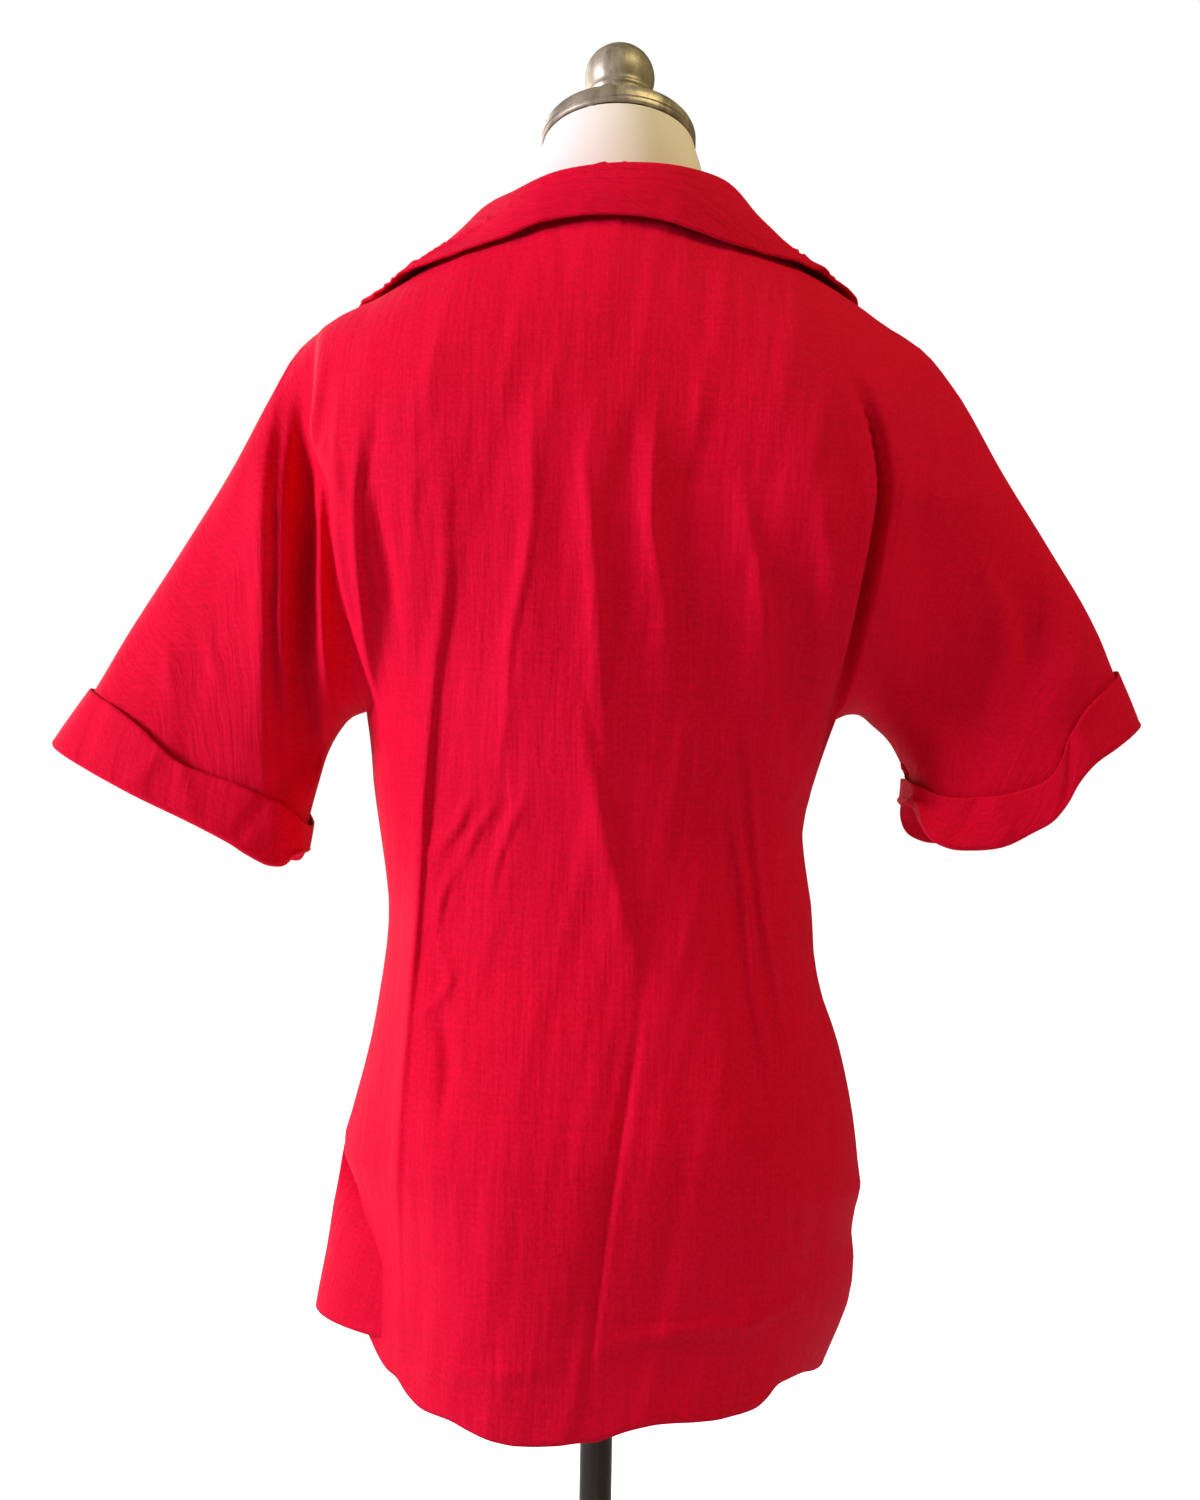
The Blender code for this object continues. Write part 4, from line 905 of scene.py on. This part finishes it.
# cuffs
cuffs = {
    "standOff": (4.6, 2.7),   # from the sleeve's outside to the cuff's, at its fold and at its free edge
    "halfSteps": 90, "rows": 16, "rollRows": 9, "wall": 1.2,
    "tuck": 12.0,             # how far the turned-in cloth shows inside the sleeve's end
    "lift": {"left": 1.4, "right": 1.1},   # the free edge springs away this far
    "creases": {          # place round the cuff in turns from the underarm, lean, half-width, height
        "left": [(0.07, 0.03, 0.016, 1.6), (0.15, -0.04, 0.014, -1.4), (0.22, 0.03, 0.018, 1.5),
                 (0.31, -0.02, 0.016, 1.3), (0.40, 0.03, 0.02, -1.2), (0.62, 0.02, 0.02, 1.3),
                 (0.74, -0.03, 0.02, 1.2), (0.88, 0.02, 0.018, -1.2)],
        "right": [(0.05, -0.02, 0.014, 1.4), (0.12, 0.03, 0.016, -1.5), (0.20, -0.03, 0.018, 1.6),
                  (0.29, 0.03, 0.015, -1.3), (0.36, -0.02, 0.014, 1.4), (0.45, 0.02, 0.016, 1.0),
                  (0.60, 0.02, 0.02, -1.2), (0.72, -0.02, 0.02, 1.3), (0.90, 0.03, 0.018, 1.2)],
    },
}


def ringNormals(ring):
    # across the points three steps either way, which also smooths them at the two seams
    return unit(np.cross(np.roll(ring, -3, 1) - np.roll(ring, 3, 1), np.gradient(ring, axis=0)))


def onto(line, points):
    # the nearest points of a polyline that runs on straight past its end
    line = np.vstack([line, 8 * line[-1] - 7 * line[-2]])
    reach = distanceTo(line, points[:, 0], points[:, 1])[1] * (len(line) - 1)
    steps = np.arange(len(line))
    return np.stack([np.interp(reach, steps, line[:, 0]), np.interp(reach, steps, line[:, 1])], -1)


def makeCuff(side):
    # the sleeve's own points between the cuff's two edges, moved out, and carried round the fold into the sleeve
    facts, half = sides[side], cuffs["halfSteps"]
    even = np.linspace(0, 1, half + 1)
    q = 0.5 * even + 0.25 * (1 - np.cos(math.pi * even))
    free, fold = through(facts["free"], q), through(facts["fold"], q)
    up = np.linspace(0, 1, cuffs["rows"])[:, None, None]
    flat = fold + up * (free - fold)
    for seam, end, pull in (("under", 0, (1 - q) ** 2), ("top", -1, q**2)):   # its ends follow the sleeve's seams
        line = through(facts[seam], np.linspace(0, 1, 41))
        flat = flat + pull[:, None] * (onto(line, flat[:, end]) - flat[:, end])[:, None]
    x, z = facts["sign"] * flat[..., 0], flat[..., 1]
    back = np.stack([x, clothY("back", x, z, False), z], -1)
    front = np.stack([x, clothY("front", x, z, False), z], -1)[:, -2:0:-1]
    sleeve = np.concatenate([back, front], 1)
    sleeve[:, [0, half], 1] = 0
    outward = -ringNormals(sleeve) * facts["sign"]
    upward = unit(sleeve[-1] - sleeve[0])
    turnsRound = (np.arange(sleeve.shape[1]) / sleeve.shape[1])[None]
    share = up[..., 0]
    relief = cuffs["lift"][side] * share**2 * (0.6 + 0.4 * np.sin(2 * np.pi * turnsRound * 3 + 1))
    for place, lean, width, height in cuffs["creases"][side]:
        away = (turnsRound - place - lean * share + 0.5) % 1 - 0.5
        relief = relief + height * np.exp(-((away / width) ** 2))
    atFold, atEdge = cuffs["standOff"]
    standOff = atFold + (atEdge - atFold) * share**2
    outer = sleeve + outward * (standOff + relief * smoothstep(0, 0.25, share + 0.06))[..., None]
    middle = (outer[0] + sleeve[0] - outward[0] * cuffs["wall"]) / 2
    radius = np.linalg.norm(outer[0] - middle, axis=-1, keepdims=True)
    angle = np.linspace(0, math.pi, cuffs["rollRows"])[1:, None, None]
    turned = middle + radius * (np.cos(angle) * outward[0] - 0.8 * np.sin(angle) * upward)
    inside = turned[-1] + np.linspace(0.15, 1, 6)[:, None, None] * cuffs["tuck"] * upward
    grid = np.concatenate([inside[::-1], turned[::-1], outer])
    grid = np.concatenate([grid, grid[:, :1]], 1)
    makeCloth("cuff" + side.capitalize(), grid, facts["sign"] > 0, "cuff_" + side, cuffs["wall"])


for side in sides:
    makeCuff(side)
print("cuffs made")

# tie: straps, knot and tails
tie = {
    "strap": {"fromX": 47.0, "toX": 10.0, "wide": 30.0, "narrow": 15.0, "lift": 3.0, "knotLift": 11.0, "bow": 2.0,
              "pleats": 3.5, "leastLift": 1.6},
    "knot": {"width": 33.0, "height": 28.0, "depth": 17.5, "lift": 12.5, "pleats": 3.5, "slant": 2.2},
    "tail": {"width": 32.0, "slant": 9.0, "fold": 3.5, "pleats": 1.5, "wave": 1.1},
    "routes": {   # of the tails, as (x, z, how far in front of the shirt)
        "left": [(9, 822, 12), (17, 795, 13), (27, 750, 12), (36, 668, 12)],
        "right": [(-9, 822, 12), (-16, 790, 14), (-24, 745, 13), (-34, 650, 12)],
    },
}


def makeStrap(side):
    # a flat band that leaves the front edge and gathers, in pleats that deepen, into the knot
    sign, size = sides[side]["sign"], tie["strap"]
    t = np.linspace(0, 1, 60)[None, :]
    across = np.linspace(-0.5, 0.5, 44)[:, None]
    x = size["fromX"] + t * (size["toX"] - size["fromX"]) + 0 * across
    bow = size["bow"] * np.sin(math.pi * t) * across * 2
    z = shirt["knotZ"] + across * (size["wide"] + t * (size["narrow"] - size["wide"])) + bow
    pleats = (0.3 + 1.3 * t) * np.cos(across * size["pleats"] * 2 * math.pi + 1.5 * np.sin(3 * t))
    lift = size["lift"] + (size["knotLift"] - size["lift"]) * smoothstep(0.2, 1, t) + pleats
    edgeFall = 2.0 * smoothstep(0.40, 0.5, np.abs(across)) * (1 - smoothstep(0.1, 0.5, t))
    y = clothY("front", sign * x, z, False) - np.maximum(lift - edgeFall, size["leastLift"])
    makeCloth("tieStrap" + side.capitalize(), np.stack([sign * x, y, z], -1), sign > 0, "tie_strap_" + side,
              shirt["wall"])


def makeTail(side):
    # a hanging end: narrow and pleated at the knot, opening to a flat slanted end with a soft fold down it
    size, route, sign = tie["tail"], tie["routes"][side], sides[side]["sign"]
    t = np.linspace(0, 1, 120)
    line = through(route, t)
    half = size["width"] / 2 * (0.40 + 0.60 * smoothstep(0, 0.35, t))
    across = np.linspace(-1, 1, 36)
    x = line[:, :1] + half[:, None] * across
    z = line[:, 1:2] + size["slant"] * smoothstep(0.8, 1, t)[:, None] * across * sign + 0 * x
    middle = clothY("front", line[:, 0], line[:, 1], False)[:, None]
    fold = size["fold"] * (1 - across**2) * (1 - 0.5 * t[:, None])
    pleats = size["pleats"] * np.cos(across * 3 * math.pi + sign) * (1 - smoothstep(0.05, 0.6, t))[:, None]
    wave = size["wave"] * np.sin(9 * t + sign)[:, None] * across
    y = middle - line[:, 2:3] - fold - pleats - wave
    makeCloth("tieTail" + side.capitalize(), np.stack([x, y, z], -1), True, "tie_tail_" + side, shirt["wall"])


def makeKnot():
    # the wrap: a tube of cloth along x, barrel-shaped, pleated round, its ends drawn in over the straps
    size = tie["knot"]
    s = np.linspace(-1, 1, 60)[None, :]
    turn = np.linspace(0, 2 * math.pi, 145)[:, None]
    barrel = 1 - 0.42 * np.abs(s) ** 3.2
    pleats = 1 + 0.05 * np.sin(s * size["pleats"] * math.pi + 1.3 * np.sin(turn) + 0.6) * (1 - s**4)
    x = s * size["width"] / 2 + size["slant"] * np.sin(turn) * (1 - s**2)
    y = clothY("front", np.array([0.0]), np.array([shirt["knotZ"]]), False)[0] - size["lift"]
    y = y + barrel * pleats * size["depth"] / 2 * np.cos(turn)
    z = shirt["knotZ"] + barrel * pleats * size["height"] / 2 * np.sin(turn)
    grid = np.stack([x + 0 * y, y, z], -1)
    grid[-1] = grid[0]
    makeCloth("tieKnot", grid, False, "tie_knot", shirt["wall"])


for side in sides:
    makeStrap(side)
for side in sides:
    makeTail(side)
makeKnot()
print("tie made")

# stitching
stitches = {"length": 2.1, "pitch": 3.0, "width": 0.55, "height": 0.35, "proud": 0.12, "fromEdge": 3.6, "sides": 6,
            "steps": 7}


def stitchRun(name, line, normals):
    # one small bead for each stitch: an ellipsoid tube laid along the line, half sunk in the cloth
    length = np.concatenate([[0], np.cumsum(np.linalg.norm(np.diff(line, axis=0), axis=1))])
    starts = np.arange(stitches["pitch"], length[-1] - stitches["pitch"], stitches["pitch"])
    steps, around = stitches["steps"], stitches["sides"]
    t = np.linspace(0, 1, steps)
    at = starts[:, None] + t[None] * stitches["length"]
    centre, out = (np.stack([np.interp(at, length, track[:, k]) for k in range(3)], -1)
                   for track in (line, normals))
    across = np.cross(unit(np.gradient(centre, axis=1)), out)
    thick = np.sqrt(np.clip(1 - (2 * t - 1) ** 2, 0.02, 1))[None, :, None, None]
    angle = np.arange(around) * 2 * math.pi / around
    ring = (np.cos(angle)[:, None] * across[:, :, None] * stitches["width"] / 2
            + np.sin(angle)[:, None] * out[:, :, None] * stitches["height"] / 2)
    points = centre[:, :, None] + thick * ring + stitches["proud"] * out[:, :, None]
    r, c = np.meshgrid(np.arange(steps - 1), np.arange(around), indexing="ij")
    a, b = r * around + c, r * around + (c + 1) % around
    quads = np.stack([a, b, b + around, a + around], -1).reshape(-1, 4)
    ends = np.arange(around)
    offset = (np.arange(len(starts)) * steps * around)[:, None]
    faces = (quads + offset[..., None]).reshape(-1, 4).tolist()
    faces += (ends[::-1] + offset).tolist() + (ends + (steps - 1) * around + offset).tolist()
    mesh = bpy.data.meshes.new(name)
    mesh.from_pydata((points.reshape(-1, 3) * mm).tolist(), [], faces)
    finishPiece(newObject(name, mesh), thread)


def makeCollarStitches():
    # one row along the collar's outer edge, a little in from it
    grid, normal = collarShape, gridNormals(collarShape)
    fall = slice(collar["standRows"] + 8, None)
    outside = np.sign((normal[fall] * (grid[fall] - grid.mean((0, 1)))).sum(-1).mean())
    depth = arcLength(grid[::-1], 0)[::-1]
    row = np.argmin(np.abs(depth - stitches["fromEdge"]), 0)
    columns = np.arange(grid.shape[1])
    share = (stitches["fromEdge"] - depth[row, columns])[:, None]
    above = grid[row, columns]
    line = above + share * unit(grid[row - 1, columns] - above)
    stitchRun("collarStitches", line, outside * normal[row, columns])


makeCollarStitches()
print("stitching made")

# dress form and stand
form = {
    "rings": [  # height, half-width, depth to the back and to the front
        (600, 134, 90, 74), (606, 140, 95, 78), (641, 153, 102, 84), (690, 148, 93, 82), (740, 128, 78, 76),
        (800, 117, 70, 73), (850, 114, 72, 78), (900, 124, 79, 90), (950, 134, 85, 102), (1000, 141, 90, 109),
        (1050, 148, 93, 107), (1100, 156, 91, 93), (1135, 162, 85, 78), (1158, 160, 78, 68), (1174, 148, 71, 60),
        (1188, 124, 63, 55), (1203, 96, 56, 50), (1217, 73, 51, 46), (1232, 61.5, 50, 45), (1252, 59.5, 49, 46),
        (1270, 55, 48, 46.5), (1289.5, 49, 47, 47)],
    "neckTilt": 17.5, "neckTiltFrom": 1192.0, "capSeatZ": 1290.5,
    "poleRadius": 10.3, "footRadius": 170.0, "poleFrom": 27.0, "poleGap": 0.4,
    "segments": {"torso": 112, "cap": 128, "knob": 112, "pole": 64, "foot": 144}, "rowsPerRing": 6, "sharpFrom": 50,
}
capProfile = [(0, 0.4), (48.6, 0.4), (49.6, 0.8), (50.0, 1.6), (50.0, 3.2), (49.2, 3.8), (49.2, 4.6), (50.0, 5.2),
              (50.0, 8.2), (49.6, 9.8), (48.6, 12.0), (46.6, 14.6), (43.8, 16.7), (40.0, 18.3), (35.0, 19.5),
              (29.0, 20.3), (26.0, 20.6), (0, 20.6)]
knobProfile = [(0, 21.0), (24.2, 21.0), (25.0, 21.6), (25.2, 22.6), (24.8, 23.8), (23.4, 25.4), (22.0, 27.0),
               (21.4, 28.6), (21.8, 30.2), (22.8, 31.6), (23.0, 32.8), (22.6, 34.0), (21.4, 35.0), (21.3, 35.8),
               (22.2, 36.8), (22.5, 38.0), (22.0, 39.4), (20.6, 40.6), (20.2, 41.6), (20.8, 43.6), (22.0, 47.4),
               (22.8, 51.0), (23.0, 54.0), (22.8, 57.0), (22.0, 60.6), (20.6, 64.2), (18.4, 67.8), (15.4, 71.0),
               (11.8, 73.7), (8.0, 75.5), (4.0, 76.6), (0, 77.0)]


def leanOf(z):
    # how far forward the neck leans at a height
    return math.tan(math.radians(form["neckTilt"])) * np.maximum(0.0, z - form["neckTiltFrom"]) * 0.6


def makeRound(name, grid, material, replaced):
    # a grid whose columns close on themselves and whose first and last rows shrink to a point
    grid = np.concatenate([grid, grid[:, :1]], 1)
    piece = finishPiece(meshOf(name, [(grid, lengthsOver(grid), False)]), material, [replaced])
    piece.data.set_sharp_from_angle(angle=math.radians(form["sharpFrom"]))


def makeTorso():
    # a smooth loft: half-width * cos a, depth * sin a, with the top ring tilted as the neck leans
    table = {ring[0]: ring[1:] for ring in form["rings"]}
    heights = sorted(table)
    steps = np.arange(form["rowsPerRing"]) / form["rowsPerRing"]
    z = np.concatenate([low + steps * (high - low) for low, high in zip(heights, heights[1:])] + [[heights[-1]]])
    half, back, front = (column(table, k, z)[:, None] for k in range(3))
    turn = np.linspace(0, 2 * math.pi, form["segments"]["torso"], endpoint=False)[None]
    depth = np.where(np.sin(turn) > 0, back, front) * np.sin(turn)
    tilt = smoothstep(1225, heights[-1], z)[:, None] * math.tan(math.radians(form["neckTilt"])) * depth
    grid = np.stack([half * np.cos(turn), depth - leanOf(z)[:, None], z[:, None] + tilt], -1)
    low, high = grid[:1].mean(1, keepdims=True), grid[-1:].mean(1, keepdims=True)
    caps = np.linspace(0, 1, 5)[:-1, None, None]
    grid = np.concatenate([low + caps * (grid[:1] - low), grid, (high + caps * (grid[-1:] - high))[::-1]])
    makeRound("formTorso", grid, jersey, "form_torso")


def turned(part, profile, lean=0.0, base=(0, 0, 0)):
    # (radius, height) pairs spun about the z axis, then leaned forward and set on a base point
    profile = np.array(profile, float)
    turn = np.linspace(0, 2 * math.pi, form["segments"][part], endpoint=False)
    radius, height = profile[:, :1], profile[:, 1:]
    x, y = radius * np.cos(turn), radius * np.sin(turn)
    c, s = math.cos(math.radians(lean)), math.sin(math.radians(lean))
    return np.stack([x, y * c - height * s, y * s + height * c], -1) + np.array(base, float)


def makeStand():
    # cap, knob, pole and foot, each its own profile turned about the pole or about the tilted neck
    neckTop = (0, -float(leanOf(form["capSeatZ"])), form["capSeatZ"])
    tilt, pole, rim = form["neckTilt"], form["poleRadius"], form["footRadius"]
    bottom, top = form["poleFrom"], form["rings"][0][0] - form["poleGap"]
    makeRound("neckCap", turned("cap", capProfile, tilt, neckTop), bronze, "form_neck_cap")
    makeRound("capKnob", turned("knob", knobProfile, tilt, neckTop), bronze, "form_cap_knob")
    poleProfile = [(0, bottom), (pole, bottom), (pole, 200.0), (pole, 400.0), (pole, top), (0, top)]
    makeRound("standPole", turned("pole", poleProfile), steel, "stand_pole")
    footProfile = [(0, 0), (rim - 1.5, 0), (rim - 0.4, 0.6), (rim, 2.0), (rim, 5.2), (rim - 0.6, 7.0),
                   (rim - 2.0, 8.4), (rim - 4.5, 9.2), (120.0, 10.9), (60.0, 13.0), (30.0, 14.4), (24.0, 15.0),
                   (21.0, 16.6), (20.0, 19.0), (20.0, 25.2), (19.4, 26.2), (18.5, 26.6), (0, 26.6)]
    makeRound("standFoot", turned("foot", footProfile), steel, "stand_base")


makeTorso()
makeStand()
print("dress form made")

# floor, light and world
studio = {
    "world": 0.09, "worldColour": (1.0, 0.88, 0.72, 1), "backdrop": 1.0, "backdropColour": (1, 1, 1, 1),
    "key": {"place": (2.75, 1.0, 1.75), "size": 0.8, "power": 101.0, "colour": (0.95, 0.90, 1.25)},
    "fill": {"place": (-1.5, 1.1, 3.3), "size": 1.5, "power": 51.0, "colour": (1.0, 0.84, 0.50)},
    "front": {"place": (1.9, -2.4, 1.8), "size": 2.2, "power": 50.0, "colour": (1.0, 0.97, 0.94)},
    "aim": (0, 0, 0.88),        # what the lights point at
    "floorColours": ((0.88, 0.88, 0.87, 1), (0.90, 0.90, 0.90, 1)), "floorGlow": 1.0, "floorReach": 14.0,
}


def makeLight(name):
    facts = studio[name]
    light = newObject(name, bpy.data.lights.new(name, "AREA"))
    light.data.size = facts["size"]
    light.data.energy = facts["power"]
    light.data.color = facts["colour"]
    light.location = facts["place"]
    x, y, z = np.array(studio["aim"]) - np.array(facts["place"])
    light.rotation_euler = (math.atan2(math.hypot(x, y), -z), 0, math.atan2(y, x) - math.pi / 2)


def makeFloor():
    finish = Finish("paleFloor")
    grain = finish.noise(finish.coordinates("Object"), 3.0, 2.0)
    finish.fixed(Emission_Strength=studio["floorGlow"])
    seen = finish.node("ShaderNodeLightPath")   # the floor glows for the eye alone, and lights nothing
    finish.finished(Base_Color=finish.mixed(grain, *studio["floorColours"]), Roughness=0.9,
                    Emission_Color=finish.mixed(seen, (0, 0, 0, 1), (1, 1, 1, 1)))
    mesh, r = bpy.data.meshes.new("floor"), studio["floorReach"]
    mesh.from_pydata([(-r, -r, 0), (r, -r, 0), (r, r, 0), (-r, r, 0)], [], [(0, 1, 2, 3)])
    mesh.materials.append(finish.material)
    newObject("floor", mesh)


def makeWorld():
    # a dim warm light all round, seen by the camera as a plain white backdrop
    world = bpy.data.worlds.new("studio")
    bpy.context.scene.world = world
    world.use_nodes = True
    tree = world.node_tree
    mix, path = tree.nodes.new("ShaderNodeMixShader"), tree.nodes.new("ShaderNodeLightPath")
    tree.links.new(path.outputs["Is Camera Ray"], mix.inputs[0])
    backgrounds = tree.nodes["Background"], tree.nodes.new("ShaderNodeBackground")
    for place, (shine, name) in enumerate(zip(backgrounds, ("world", "backdrop")), 1):
        shine.inputs["Color"].default_value = studio[name + "Colour"]
        shine.inputs["Strength"].default_value = studio[name]
        tree.links.new(shine.outputs[0], mix.inputs[place])
    tree.links.new(mix.outputs[0], tree.nodes["World Output"].inputs[0])


makeFloor()
makeWorld()
bpy.context.scene.view_settings.view_transform = "Standard"
for name in ("key", "fill", "front"):
    makeLight(name)
print("studio made")
